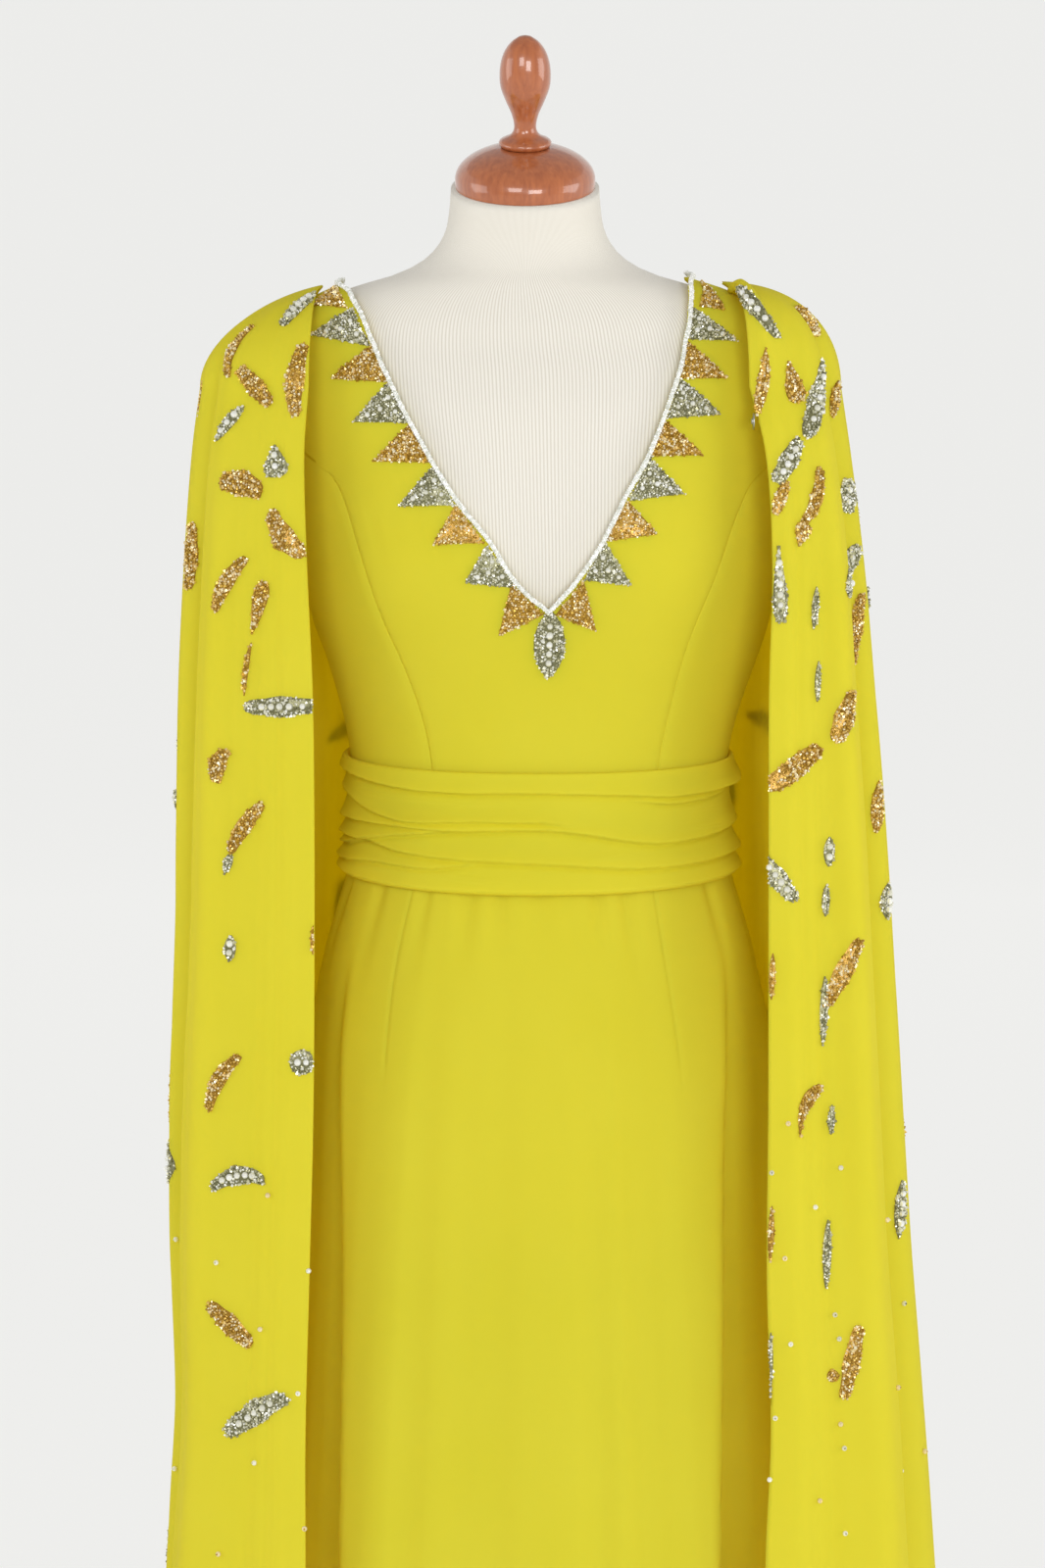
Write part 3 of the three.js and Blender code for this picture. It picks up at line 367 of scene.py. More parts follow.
# ---- Meshes ----
def new_piece(
    name: str,
    points: Array,
    faces: list[Array],
    uv: Array | None = None,
    tone: Array | None = None,
    smooth: bool = True,
) -> Object:
    """Makes an object from arrays, turned so that its faces point out.

    Args:
        name: The piece's name.
        points: Vertices.
        faces: Arrays of vertex indices, one row a face; each array has faces of one size.
        uv: A texture place for each vertex, in metres on the cloth.
        tone: A random share for each vertex, which a finish may read.
        smooth: Whether its shading is smooth.

    Returns:
        The object, at the origin, riding on the dress's one body.
    """
    volume = 0.0
    for group in faces:
        first = points[group[:, 0]]
        for k in range(1, group.shape[1] - 1):
            turned = np.cross(points[group[:, k]], points[group[:, k + 1]])
            volume += float(np.einsum("ij,ij->", first, turned))
    if volume < 0:
        faces = [group[:, ::-1] for group in faces]
    corners = np.concatenate([group.ravel() for group in faces]).astype(np.int32)
    sizes = np.concatenate([np.full(len(group), group.shape[1]) for group in faces])
    starts = np.concatenate([[0], np.cumsum(sizes)[:-1]]).astype(np.int32)
    mesh = bpy.data.meshes.new(name)
    mesh.vertices.add(len(points))
    mesh.vertices.foreach_set("co", points.astype(np.float32).ravel())
    mesh.loops.add(len(corners))
    mesh.loops.foreach_set("vertex_index", corners)
    mesh.polygons.add(len(starts))
    mesh.polygons.foreach_set("loop_start", starts)
    mesh.polygons.foreach_set("use_smooth", np.full(len(starts), smooth))
    mesh.update(calc_edges=True)
    if uv is not None:
        layer = mesh.uv_layers.new(name="cloth")
        layer.data.foreach_set("uv", uv[corners].astype(np.float32).ravel())
    if tone is not None:
        attribute = mesh.attributes.new("tone", "FLOAT", "POINT")
        attribute.data.foreach_set("value", tone.astype(np.float32))
    made = bpy.data.objects.new(name, mesh)
    bpy.context.scene.collection.objects.link(made)
    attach(made, BODY)
    return made


def quads(rows: int, columns: int, start: int = 0, wrap: bool = False) -> Array:
    """The faces of a grid of vertices that are numbered row by row.

    Args:
        rows: Rows of vertices.
        columns: Vertices in a row.
        start: The first vertex's number.
        wrap: Whether the last column joins the first.

    Returns:
        Four vertex numbers a face.
    """
    index = start + np.arange(rows * columns).reshape(rows, columns)
    if wrap:
        index = np.concatenate([index, index[:, :1]], axis=1)
    lower, upper = index[:-1], index[1:]
    corners = [lower[:, :-1], lower[:, 1:], upper[:, 1:], upper[:, :-1]]
    return np.stack(corners, axis=-1).reshape(-1, 4)


def wall(*faces: tuple[Array, Array], rounding: float = 0.35) -> tuple[Array, list[Array]]:
    """A cloth wall with rounded edges between its outer and inner faces.

    Grids that share an edge share its points. Each free edge gets a rim of two strips over a middle
    line, which bulges away from the cloth.

    Args:
        faces: The outer and inner points of each grid, all turned the same way.
        rounding: How far a rim bulges, as a share of the wall's thickness.

    Returns:
        The vertices and the faces.
    """
    outer = np.concatenate([pair[0].reshape(-1, 3) for pair in faces])
    inner = np.concatenate([pair[1].reshape(-1, 3) for pair in faces])
    starts = np.cumsum([0] + [pair[0][..., 0].size for pair in faces])
    grids = [quads(*pair[0].shape[:2], start) for pair, start in zip(faces, starts)]
    _, kept, known = np.unique(
        np.round(outer * 1e5), axis=0, return_index=True, return_inverse=True
    )
    outer, inner = outer[kept], inner[kept]
    count = len(outer)
    sheet = known.ravel()[np.concatenate(grids)]
    edges = np.stack([sheet, np.roll(sheet, -1, axis=1)], axis=-1).reshape(-1, 2)
    free = edges[~np.isin(edges @ [count, 1], edges @ [1, count])]
    through = outer - inner
    away = np.zeros((count, 3))
    square = unit(np.cross(outer[free[:, 1]] - outer[free[:, 0]], through[free[:, 0]]))
    for end in (0, 1):
        np.add.at(away, free[:, end], square)
    rim = np.unique(free)
    thick = np.linalg.norm(through[rim], axis=-1, keepdims=True)
    middle = (outer + inner)[rim] / 2 + unit(away[rim]) * thick * rounding
    place = np.zeros(count, int)
    place[rim] = 2 * count + np.arange(len(rim))
    p, q = free.T
    strips = [
        np.stack([q, p, place[p], place[q]], axis=-1),
        np.stack([place[q], place[p], p + count, q + count], axis=-1),
    ]
    points = np.concatenate([outer, inner, middle])
    return points, [sheet, sheet[:, ::-1] + count, *strips]


def tube(rings: Array, ends: tuple[Array, Array] | None = None) -> tuple[Array, list[Array]]:
    """A closed body through rings of points, with a point closing each end.

    Args:
        rings: Points, rings by places round them.
        ends: The points that close the first and the last ring; else they are the rings' middles.

    Returns:
        The vertices and the faces.
    """
    count, around = rings.shape[:2]
    ends = ends or (rings[0].mean(axis=0), rings[-1].mean(axis=0))
    points = np.concatenate([rings.reshape(-1, 3), [ends[0]], [ends[1]]])
    place = np.arange(around)
    ahead = (place + 1) % around
    low = np.stack([np.full(around, count * around), ahead, place], axis=-1)
    top = (count - 1) * around
    high = np.stack([np.full(around, count * around + 1), top + place, top + ahead], axis=-1)
    return points, [quads(count, around, wrap=True), low, high]


def turned(radius: Array, height: Array, around: int = 96) -> Array:
    """Turns a profile about +Z: x and y are a radius times the cosine and the sine of the turn.

    Args:
        radius: The profile's radii.
        height: Its heights.
        around: Points in a ring.

    Returns:
        Rings of points.
    """
    a = np.arange(around) * 2 * pi / around
    x, y = np.multiply.outer(radius, np.cos(a)), np.multiply.outer(radius, np.sin(a))
    return points_of(x, y, np.asarray(height)[:, None])


# ---- What is sewn onto a face ----
@dataclass
class StudioCamera:
    """The camera, and where it sees points in its frame."""

    position: tuple[float, float, float] = (-0.008, -3.06, 1.43)
    pitch: float = atan2(0.304, 3.0)
    lens_mm: float = 90.0
    sensor_mm: float = 36.0
    frame_width: int = 1066
    frame_height: int = 1600

    @property
    def focal(self) -> float:
        """The focal length in pixels of the frame."""
        return self.lens_mm / self.sensor_mm * self.frame_height

    def pixels(self, points: Array) -> Array:
        """Where points fall in the frame: their offsets over their depth, times the focal length.

        Args:
            points: The points.

        Returns:
            Pixels from the left and from the top.
        """
        offset = points - np.array(self.position)
        ahead = np.array([0, np.cos(self.pitch), -np.sin(self.pitch)])
        up = np.array([0, np.sin(self.pitch), np.cos(self.pitch)])
        depth = offset @ ahead
        x = self.frame_width / 2 + self.focal * offset[..., 0] / depth
        y = self.frame_height / 2 - self.focal * (offset @ up) / depth
        return np.stack([x, y], axis=-1)

    def make(self) -> None:
        """Makes the camera and gives it to the scene."""
        data = bpy.data.cameras.new("studio_camera")
        data.lens, data.sensor_width = self.lens_mm, self.sensor_mm
        made = bpy.data.objects.new("studio_camera", data)
        made.location = self.position
        made.rotation_euler = (pi / 2 - self.pitch, 0, 0)
        bpy.context.scene.collection.objects.link(made)
        bpy.context.scene.camera = made


@dataclass
class ClothFace:
    """The outer face of a piece as a grid, for what is sewn onto it."""

    points: Array
    normals: Array
    steps: int = 9  # Newton steps, each at most so many grid places long
    longest: float = 9.0
    flattest: float = 0.05
    near: float = 0.0008

    def sample(self, row: Array, column: Array) -> tuple[Array, Array]:
        """Reads between the grid's places, mixed from the four around each.

        Args:
            row: Rows, with fractions.
            column: Columns, with fractions.

        Returns:
            Points and normals.
        """
        row = np.clip(row, 0, self.points.shape[0] - 1.001)
        column = np.clip(column, 0, self.points.shape[1] - 1.001)
        j, i = row.astype(int), column.astype(int)
        t, s = (row - j)[..., None], (column - i)[..., None]
        found = [
            mix(mix(grid[j, i], grid[j, i + 1], s), mix(grid[j + 1, i], grid[j + 1, i + 1], s), t)
            for grid in (self.points, self.normals)
        ]
        return found[0], unit(found[1])

    def seat_at(self, camera: StudioCamera, pixel: tuple[float, float]) -> tuple[int, int]:
        """Finds the grid place that faces the camera and is seen nearest to a pixel.

        Args:
            camera: The camera.
            pixel: The place in its frame.

        Returns:
            The row and the column.
        """
        facing = np.einsum("jik,jik->ji", self.normals, np.array(camera.position) - self.points)
        away = np.linalg.norm(camera.pixels(self.points) - np.array(pixel), axis=-1)
        nearest = int(np.argmin(np.where(facing > 0, away, np.inf)))
        return divmod(nearest, self.points.shape[1])

    def spread(
        self, seat: tuple[int, int], heading: Array, along: Array, across: Array
    ) -> tuple[Array, Array, Array]:
        """Lays a flat layout on the cloth.

        The layout's two directions lie in the cloth at the seat. Each place is found by Newton
        steps: the miss, seen flat, is divided by the grid's own slopes there.

        Args:
            seat: The grid place of the layout's middle.
            heading: The direction of the layout's length, which is brought into the cloth.
            along: Offsets along the length, in metres.
            across: Offsets across it.

        Returns:
            Points, normals, and whether the cloth reaches that far.
        """
        normal = self.normals[seat]
        length = unit(heading - normal * (heading @ normal))
        frame_axes = np.stack([length, np.cross(normal, length)], axis=-1)
        origin = self.points[seat]
        target = np.stack([along, across], axis=-1)
        place = np.tile(np.array(seat, float), (len(target), 1))
        miss = target
        for _ in range(self.steps):
            slopes = []
            for half in ([0.5, 0.0], [0.0, 0.5]):
                ahead, behind = self.sample(*(place + half).T), self.sample(*(place - half).T)
                slopes.append((ahead[0] - behind[0]) @ frame_axes)
            inverse = np.linalg.pinv(np.stack(slopes, axis=-1), rcond=self.flattest)
            step = np.einsum("nij,nj->ni", inverse, miss)
            place += np.clip(step, -self.longest, self.longest)
            miss = target - (self.sample(*place.T)[0] - origin) @ frame_axes
        return *self.sample(*place.T), np.linalg.norm(miss, axis=-1) < self.near


class Finishing(Enum):
    """The bead colours of a motif."""

    GOLD = "gold"
    SILVER = "silver"


class Motif(Enum):
    """The outlines that are filled with beads."""

    LEAF = "leaf"
    BEAN = "bean"
    DROP = "drop"
    ROUND = "round"

    def half_width(self, t: Array) -> Array:
        """Half the outline's width along its length.

        A leaf is a lens, a drop swells late and closes round, a bean is nearly straight
        between round ends, and a round one is a circle.

        Args:
            t: Shares of the length.

        Returns:
            Shares of the greatest half width.
        """
        t = np.clip(t, 0, 1)
        if self is Motif.LEAF:
            return (1 - np.abs(2 * t - 1) ** 2) ** 0.85
        if self is Motif.DROP:
            return 1.35 * t**0.9 * np.sqrt(1 - t**4)
        if self is Motif.BEAN:
            return (1 - np.abs(2 * t - 1) ** 3) ** 0.5 * (0.92 + 0.1 * np.cos(4 * pi * t))
        return np.sqrt(1 - (2 * t - 1) ** 2)


G, S = Finishing
LEAF, BEAN, DROP, ROUND = Motif
OCTAHEDRON = np.array([[1, 0, 0], [-1, 0, 0], [0, 1, 0], [0, -1, 0], [0, 0, 1], [0, 0, -1]], float)
OCTAHEDRON_FACES = np.array(
    [[0, 2, 4], [2, 1, 4], [1, 3, 4], [3, 0, 4], [2, 0, 5], [1, 2, 5], [3, 1, 5], [0, 3, 5]]
)


@dataclass(frozen=True)
class BeadMix:
    """Bead radii: a share of large ones among small ones between two sizes."""

    share: float
    large: float
    small: tuple[float, float]
    lift: float  # of a bead's middle over the cloth, as a share of its radius

    def radii(self, rng: np.random.Generator, count: int) -> Array:
        """Radii drawn for a number of beads."""
        large = rng.uniform(size=count) < self.share
        return np.where(large, self.large, rng.uniform(*self.small, count))


@dataclass
class BeadBag:
    """Gathers the places of many beads, to make them one mesh."""

    rng: np.random.Generator
    centres: list[Array] = field(default_factory=list)
    radii: list[Array] = field(default_factory=list)
    cabochons: list[tuple[Array, Array]] = field(default_factory=list)
    pads: list[tuple[Array, list[Array]]] = field(default_factory=list)

    def add(self, centres: Array, radii: Array) -> None:
        """Adds beads."""
        self.centres.append(centres)
        self.radii.append(radii)

    def add_cabochons(self, points: Array, normals: Array, radius: float, lift: float) -> None:
        """Adds round stones of nearly one size.

        Args:
            points: Where they are sewn on.
            normals: The cloth's normals there.
            radius: Their radius, from which each is up to a tenth off.
            lift: Their middles' lift over the cloth, as a share of the radius.
        """
        radii = self.rng.uniform(0.9, 1.1, len(points)) * radius
        self.cabochons.append((points + normals * (radii * lift)[:, None], radii))

    def add_pad(self, places: tuple[Array, Array, Array], lift: Array, around: int) -> None:
        """Adds a low closed pad under beads.

        Args:
            places: Points and normals of its rings, one ring after another, as spread gives them.
            lift: How far each point is lifted off the cloth.
            around: Points in a ring.
        """
        rings = (places[0] + places[1] * lift[:, None]).reshape(-1, around, 3)
        self.pads.append(tube(rings))

    def round_stones(self) -> tuple[Array, list[Array]]:
        """Makes the round stones as balls of five rings.

        Returns:
            Their vertices and faces.
        """
        centres = np.concatenate([pair[0] for pair in self.cabochons])
        radii = np.concatenate([pair[1] for pair in self.cabochons])
        a = np.arange(1, 6) * pi / 6
        pole = np.array([0, 0, 1.0])
        ball, groups = tube(turned(np.sin(a), -np.cos(a), 8), (-pole, pole))
        points = centres[:, None] + radii[:, None, None] * ball
        start = np.arange(len(centres))[:, None, None] * len(ball)
        return points.reshape(-1, 3), [
            (start + group).reshape(-1, group.shape[1]) for group in groups
        ]

    def turns(self, count: int) -> Array:
        """Draws random rotation matrices, from unit quaternions.

        Args:
            count: How many.

        Returns:
            The matrices.
        """
        q = unit(self.rng.normal(size=(count, 4)))
        w, x, y, z = q.T
        rows = [
            [1 - 2 * (y * y + z * z), 2 * (x * y - w * z), 2 * (x * z + w * y)],
            [2 * (x * y + w * z), 1 - 2 * (x * x + z * z), 2 * (y * z - w * x)],
            [2 * (x * z - w * y), 2 * (y * z + w * x), 1 - 2 * (x * x + y * y)],
        ]
        return np.moveaxis(np.array(rows), -1, 0)

    def make(self, name: str) -> Object:
        """Joins the beads, the round stones and the pads beneath them into one piece.

        A bead is an eight-sided cut stone, a little longer or shorter each way, turned at random.

        Args:
            name: The piece's name.

        Returns:
            The piece.
        """
        centres, radii = np.concatenate(self.centres), np.concatenate(self.radii)
        count = len(centres)
        cut = self.rng.uniform(0.8, 1.2, (count, 1, 3)) * radii[:, None, None] * OCTAHEDRON
        stones = np.einsum("nij,nkj->nki", self.turns(count), cut) + centres[:, None]
        start = np.arange(count)[:, None, None] * len(OCTAHEDRON)
        tone = [np.repeat(self.rng.uniform(0, 1, count), len(OCTAHEDRON))]
        bodies = [(stones.reshape(-1, 3), [(start + OCTAHEDRON_FACES).reshape(-1, 3)])]
        if self.cabochons:
            bodies.append(self.round_stones())
            balls = sum(len(pair[1]) for pair in self.cabochons)
            # round stones take the pale end of the ramp: partly painted reflection
            tone.append(np.repeat(self.rng.uniform(0.7, 1, balls), len(bodies[1][0]) // balls))
        bodies += self.pads
        # Pads take tone 0, the darkest colour of the ramp: painted shade between the beads. The
        # cord's thread core, kept with the pads, takes it too.
        tone += [np.zeros(len(pad[0])) for pad in self.pads]
        starts = np.cumsum([0] + [len(body[0]) for body in bodies])
        faces = [group + start for body, start in zip(bodies, starts) for group in body[1]]
        points, tone = np.concatenate([body[0] for body in bodies]), np.concatenate(tone)
        return new_piece(name, points, faces, tone=tone, smooth=False)


def scattered(rng: np.random.Generator, length: float, width: float, pitch: float) -> Array:
    """Strews places over a rectangle round 0: a staggered grid, shaken by a quarter of its pitch.

    Args:
        rng: The random numbers.
        length: Along x.
        width: Along y.
        pitch: About how far apart the places are.

    Returns:
        The flat places.
    """
    rows = np.arange(-width / 2, width / 2 + pitch, pitch * 0.87)
    columns = np.arange(-length / 2, length / 2 + pitch, pitch)
    x, y = np.meshgrid(columns, rows)
    x = x + (np.arange(len(rows))[:, None] % 2) * pitch / 2
    places = np.stack([x, y], axis=-1).reshape(-1, 2)
    return places + rng.uniform(-0.25, 0.25, places.shape) * pitch


def clear_of(places: Array, others: Array, reach: float) -> Array:
    """Whether each flat place is farther than a reach from all the others."""
    away = np.linalg.norm(places[:, None] - others[None], axis=-1)
    return (away > reach).all(axis=1)


@dataclass
class BeadedMotif:
    """A motif of cut beads on a low pad, with a row of round stones, sewn onto a face."""

    kind: Motif
    length: float
    width: float
    bend: float = 0.0
    cabochons: int = 0
    cabochon_radius: float = 0.0027
    pitch: float = 0.0023
    pad_height: float = 0.0008
    pad_rings: int = 12
    pad_around: int = 8
    beads: BeadMix = BeadMix(0.16, 0.0018, (0.0011, 0.0014), 0.55)

    def layout(self, t: Array, s: Array) -> tuple[Array, Array]:
        """Places the motif on a plane; its spine is a parabola.

        Args:
            t: Shares along it.
            s: Shares across it, from -1 to 1.

        Returns:
            Offsets along and across.
        """
        along = (t - 0.5) * self.length
        across = s * self.kind.half_width(t) * self.width / 2
        return along, across + self.bend * self.length * (1 - (2 * t - 1) ** 2 - 0.5)

    def sew(self, bag: BeadBag, face: ClothFace, seat: tuple[int, int], heading: Array) -> None:
        """Adds the motif's beads, stones and pad to a bag.

        Args:
            bag: Takes them.
            face: What the motif is sewn onto.
            seat: The grid place of its middle.
            heading: The direction of its length.
        """
        flat = scattered(bag.rng, self.length, self.width * 1.1, self.pitch)
        t = flat[:, 0] / self.length + 0.5
        limit = self.kind.half_width(t) * self.width / 2
        kept = (t > 0.01) & (t < 0.99) & (np.abs(flat[:, 1]) <= limit)
        if self.cabochons:
            share = (np.arange(self.cabochons) + 0.5) / self.cabochons
            share = mix(0.17, 0.83, share) if self.cabochons > 1 else share
            level = np.zeros(len(share))
            spine = np.stack([(share - 0.5) * self.length, level], axis=-1)
            kept &= clear_of(flat, spine, self.cabochon_radius * 1.25)
            points, normals, reached = face.spread(seat, heading, *self.layout(share, level))
            bag.add_cabochons(points[reached], normals[reached], self.cabochon_radius, 0.5)
        t, s = t[kept], flat[kept, 1] / np.maximum(limit[kept], 1e-6)
        points, normals, reached = face.spread(seat, heading, *self.layout(t, s))
        radii = self.beads.radii(bag.rng, int(reached.sum()))
        lift = self.pad_height * (1 - s[reached] ** 2) + radii * self.beads.lift
        bag.add(points[reached] + normals[reached] * lift[:, None], radii)
        a = np.arange(self.pad_around) * 2 * pi / self.pad_around
        rings = np.linspace(0.03, 0.97, self.pad_rings)
        t, s = np.meshgrid(rings, np.cos(a) * 0.96, indexing="ij")
        under = face.spread(seat, heading, *self.layout(t.ravel(), s.ravel()))
        lift = np.tile(np.sin(a) * self.pad_height, self.pad_rings) + THREAD
        bag.add_pad(under, lift, self.pad_around)


# ---- Finishes ----
def linear(colour: str) -> tuple[float, float, float, float]:
    """Turns an sRGB colour to linear light, by the sRGB curve.

    Args:
        colour: A hex value.

    Returns:
        Red, green, blue and alpha.
    """
    shares = np.array([int(colour[k : k + 2], 16) for k in (1, 3, 5)]) / 255
    low, high = shares / 12.92, ((shares + 0.055) / 1.055) ** 2.4
    return (*np.where(shares <= 0.04045, low, high).tolist(), 1.0)


def node(
    tree: NodeTree,
    kind: str,
    inputs: dict,
    colours: dict[float, str] | None = None,
    **settings: str,
) -> Node:
    """Adds a node to a material.

    Args:
        tree: The material's node tree.
        kind: The node's type, as it goes on after ShaderNode.
        inputs: What its sockets get, by name or number: a value, or another node's output.
        colours: The hex colours of a ramp, by their places from 0 to 1.
        settings: Its properties by name.

    Returns:
        The node.
    """
    made = tree.nodes.new(f"ShaderNode{kind}")
    for name, value in settings.items():
        setattr(made, name, value)
    for name, value in inputs.items():
        if isinstance(value, NodeSocket):
            tree.links.new(value, made.inputs[name])
        else:
            made.inputs[name].default_value = value
    if colours:
        stops = made.color_ramp.elements
        for place in list(colours)[1:-1]:
            stops.new(place)
        for stop, colour in zip(stops, colours.values()):
            stop.color = linear(colour)
    return made


class Finish:
    """A finish; each one below says what the light meets."""

    name: str

    def surface(self, tree: NodeTree) -> Node:
        """The shader of the finish."""
        raise NotImplementedError

    def make(self) -> Material:
        """Builds the material.

        Returns:
            The material, named for its finish.
        """
        material = bpy.data.materials.new(self.name)
        material.use_nodes = True
        tree = material.node_tree
        tree.nodes.clear()
        node(tree, "OutputMaterial", {"Surface": self.surface(tree).outputs[0]})
        return material


@dataclass(frozen=True)
class Crepe(Finish):
    """Heavy dress crepe, piece-dyed lemon yellow.

    Overtwisted yarn shrinks into a fine pebble, so the cloth is matt and its folds shade softly.
    The pebble is about 0.6 mm; it is drawn twice as coarse, as coarse as it needs to show. Some
    light comes through the cloth and turns golden on the way, so its shaded insides glow.
    """

    name: str = "lemon_yellow_crepe"
    shade: str = "#E9EE3E"
    light: str = "#EEF34A"
    glow: str = "#FFE414"
    passing: float = 0.48
    pebble: float = 0.0012
    cloud: float = 0.09

    def surface(self, tree: NodeTree) -> Node:
        """Mixes what the cloth throws back with what it lets through.

        Args:
            tree: The material's node tree.

        Returns:
            The shader.
        """
        place = node(tree, "TexCoord", {}).outputs["Object"]
        cloud = node(tree, "TexNoise", {"Vector": place, "Scale": 1 / self.cloud, "Detail": 3.0})
        grain = {"Vector": place, "Scale": 1 / self.pebble, "Detail": 2.0, "Roughness": 0.6}
        height = node(tree, "TexNoise", grain).outputs[0]
        bump = node(tree, "Bump", {"Height": height, "Strength": 0.25, "Distance": 0.0003})
        dyed = {0: self.shade, 1: self.light}
        cloth = node(
            tree,
            "BsdfPrincipled",
            {
                "Base Color": node(tree, "ValToRGB", {0: cloud.outputs[0]}, dyed).outputs[0],
                "Roughness": 0.85,
                "Specular IOR Level": 0.2,
                "Sheen Weight": 0.04,
                "Sheen Roughness": 0.5,
                "Sheen Tint": linear("#FFF6A0"),
                "Normal": bump.outputs["Normal"],
            },
        )
        through = node(tree, "BsdfTranslucent", {"Color": linear(self.glow)})
        both = {0: self.passing, 1: cloth.outputs[0], 2: through.outputs[0]}
        return node(tree, "MixShader", both)


@dataclass(frozen=True)
class RibbedJersey(Finish):
    """Cream cotton jersey stretched over a form.

    Its knitted ribs run up the body, so it shows fine upright lines; a rib is about 2.2 mm, and
    the grooves between them are painted a little browner and darker, as painted shade.
    """

    name: str = "cream_ribbed_jersey"
    # painted shade: the grooves' colour, darker than the ribs
    groove: str = "#D6CFC2"
    rib: str = "#EBE7DD"
    pitch: float = 0.0022
    fuzz: float = 1 / 900

    def surface(self, tree: NodeTree) -> Node:
        """Ribs as a sine of the distance round the body, under a fine fuzz.

        Args:
            tree: The material's node tree.

        Returns:
            The shader.
        """
        place = node(tree, "TexCoord", {})
        around = node(tree, "SeparateXYZ", {0: place.outputs["UV"]}).outputs["X"]
        turns = node(tree, "Math", {0: around, 1: 2 * pi / self.pitch}, operation="MULTIPLY")
        wave = node(tree, "Math", {0: turns.outputs[0]}, operation="SINE").outputs[0]
        ribs = node(tree, "MapRange", {"Value": wave, "From Min": -1.0, "From Max": 0.4})
        fine = {"Vector": place.outputs["Object"], "Scale": 1 / self.fuzz, "Detail": 2.0}
        sums = {0: node(tree, "TexNoise", fine).outputs[0], 1: 0.3, 2: ribs.outputs[0]}
        height = node(tree, "Math", sums, operation="MULTIPLY_ADD").outputs[0]
        bump = node(tree, "Bump", {"Height": height, "Strength": 0.3, "Distance": 0.0003})
        # painted shade: the ramp darkens the cloth towards each groove
        rib_colours_and_painted_groove_shade = {0: self.groove, 1: self.rib}
        return node(
            tree,
            "BsdfPrincipled",
            {
                "Base Color": node(tree, "ValToRGB", {0: ribs.outputs[0]}, rib_colours_and_painted_groove_shade).outputs[0],
                "Roughness": 0.9,
                "Sheen Weight": 0.15,
                "Normal": bump.outputs["Normal"],
            },
        )


@dataclass(frozen=True)
class VarnishedBeech(Finish):
    """Turned beech, stained reddish brown and varnished.

    Fine darker streaks run up the grain under a clear glossy coat. A streak is 1 to 2 mm wide.
    """

    name: str = "red_brown_varnished_beech"
    dark: str = "#8A4122"
    light: str = "#C97643"
    streak: float = 0.004
    grain_run: float = 0.09

    def surface(self, tree: NodeTree) -> Node:
        """Noise drawn out along the height, under a coat.

        Args:
            tree: The material's node tree.

        Returns:
            The shader.
        """
        place = node(tree, "TexCoord", {}).outputs["Object"]
        scale = (1 / self.streak, 1 / self.streak, 1 / self.grain_run)
        drawn = node(tree, "Mapping", {"Vector": place, "Scale": scale}).outputs[0]
        streaks = {"Vector": drawn, "Scale": 1.0, "Detail": 5.0, "Distortion": 0.4}
        grain = node(tree, "TexNoise", streaks).outputs[0]
        bump = node(tree, "Bump", {"Height": grain, "Strength": 0.12, "Distance": 0.0004})
        stained = {0: self.dark, 1: self.light}
        return node(
            tree,
            "BsdfPrincipled",
            {
                "Base Color": node(tree, "ValToRGB", {0: grain}, stained).outputs[0],
                "Roughness": 0.32,
                "Coat Weight": 1.0,
                "Coat Roughness": 0.06,
                "Normal": bump.outputs["Normal"],
            },
        )


@dataclass(frozen=True)
class CutBeads(Finish):
    """Foil-backed cut glass beads.

    Each stone is at random a little darker or paler, up to near white: partly the glass's own colour
    and partly painted reflection of its facets. Its flat facets also flash where they meet the
    light.
    """

    name: str
    dark: str
    middle: str
    pale: str
    metal: float = 0.4
    roughness: float = 0.24

    def surface(self, tree: NodeTree) -> Node:
        """Lets the stone's random tone pick its colour, which is partly painted reflection.

        Args:
            tree: The material's node tree.

        Returns:
            The shader.
        """
        tone = node(tree, "Attribute", {}, attribute_name="tone").outputs["Fac"]
        # painted reflection: the random tones, dark to near white, stand partly for what the facets
        # reflect
        tones_with_painted_reflection = {0: self.dark, 0.45: self.middle, 1: self.pale}
        colour = node(tree, "ValToRGB", {0: tone}, tones_with_painted_reflection).outputs[0]
        look = {"Base Color": colour, "Metallic": self.metal, "Roughness": self.roughness}
        return node(tree, "BsdfPrincipled", look)


@dataclass(frozen=True)
class NickelPlate(Finish):
    """Nickel-plated brass, pressed: a soft grey mirror with faint handling marks."""

    name: str = "nickel_plated_brass"
    dark: str = "#9A9C98"
    light: str = "#C6C7C4"
    mark: float = 1 / 700

    def surface(self, tree: NodeTree) -> Node:
        """Marks as a fine noise, in both the colour and the roughness.

        Args:
            tree: The material's node tree.

        Returns:
            The shader.
        """
        place = node(tree, "TexCoord", {}).outputs["Object"]
        marks = node(tree, "TexNoise", {"Vector": place, "Scale": 1 / self.mark}).outputs[0]
        rough = node(tree, "MapRange", {"Value": marks, "To Min": 0.22, "To Max": 0.42})
        colour = node(tree, "ValToRGB", {0: marks}, {0: self.dark, 1: self.light}).outputs[0]
        look = {"Base Color": colour, "Metallic": 1.0, "Roughness": rough.outputs[0]}
        return node(tree, "BsdfPrincipled", look)


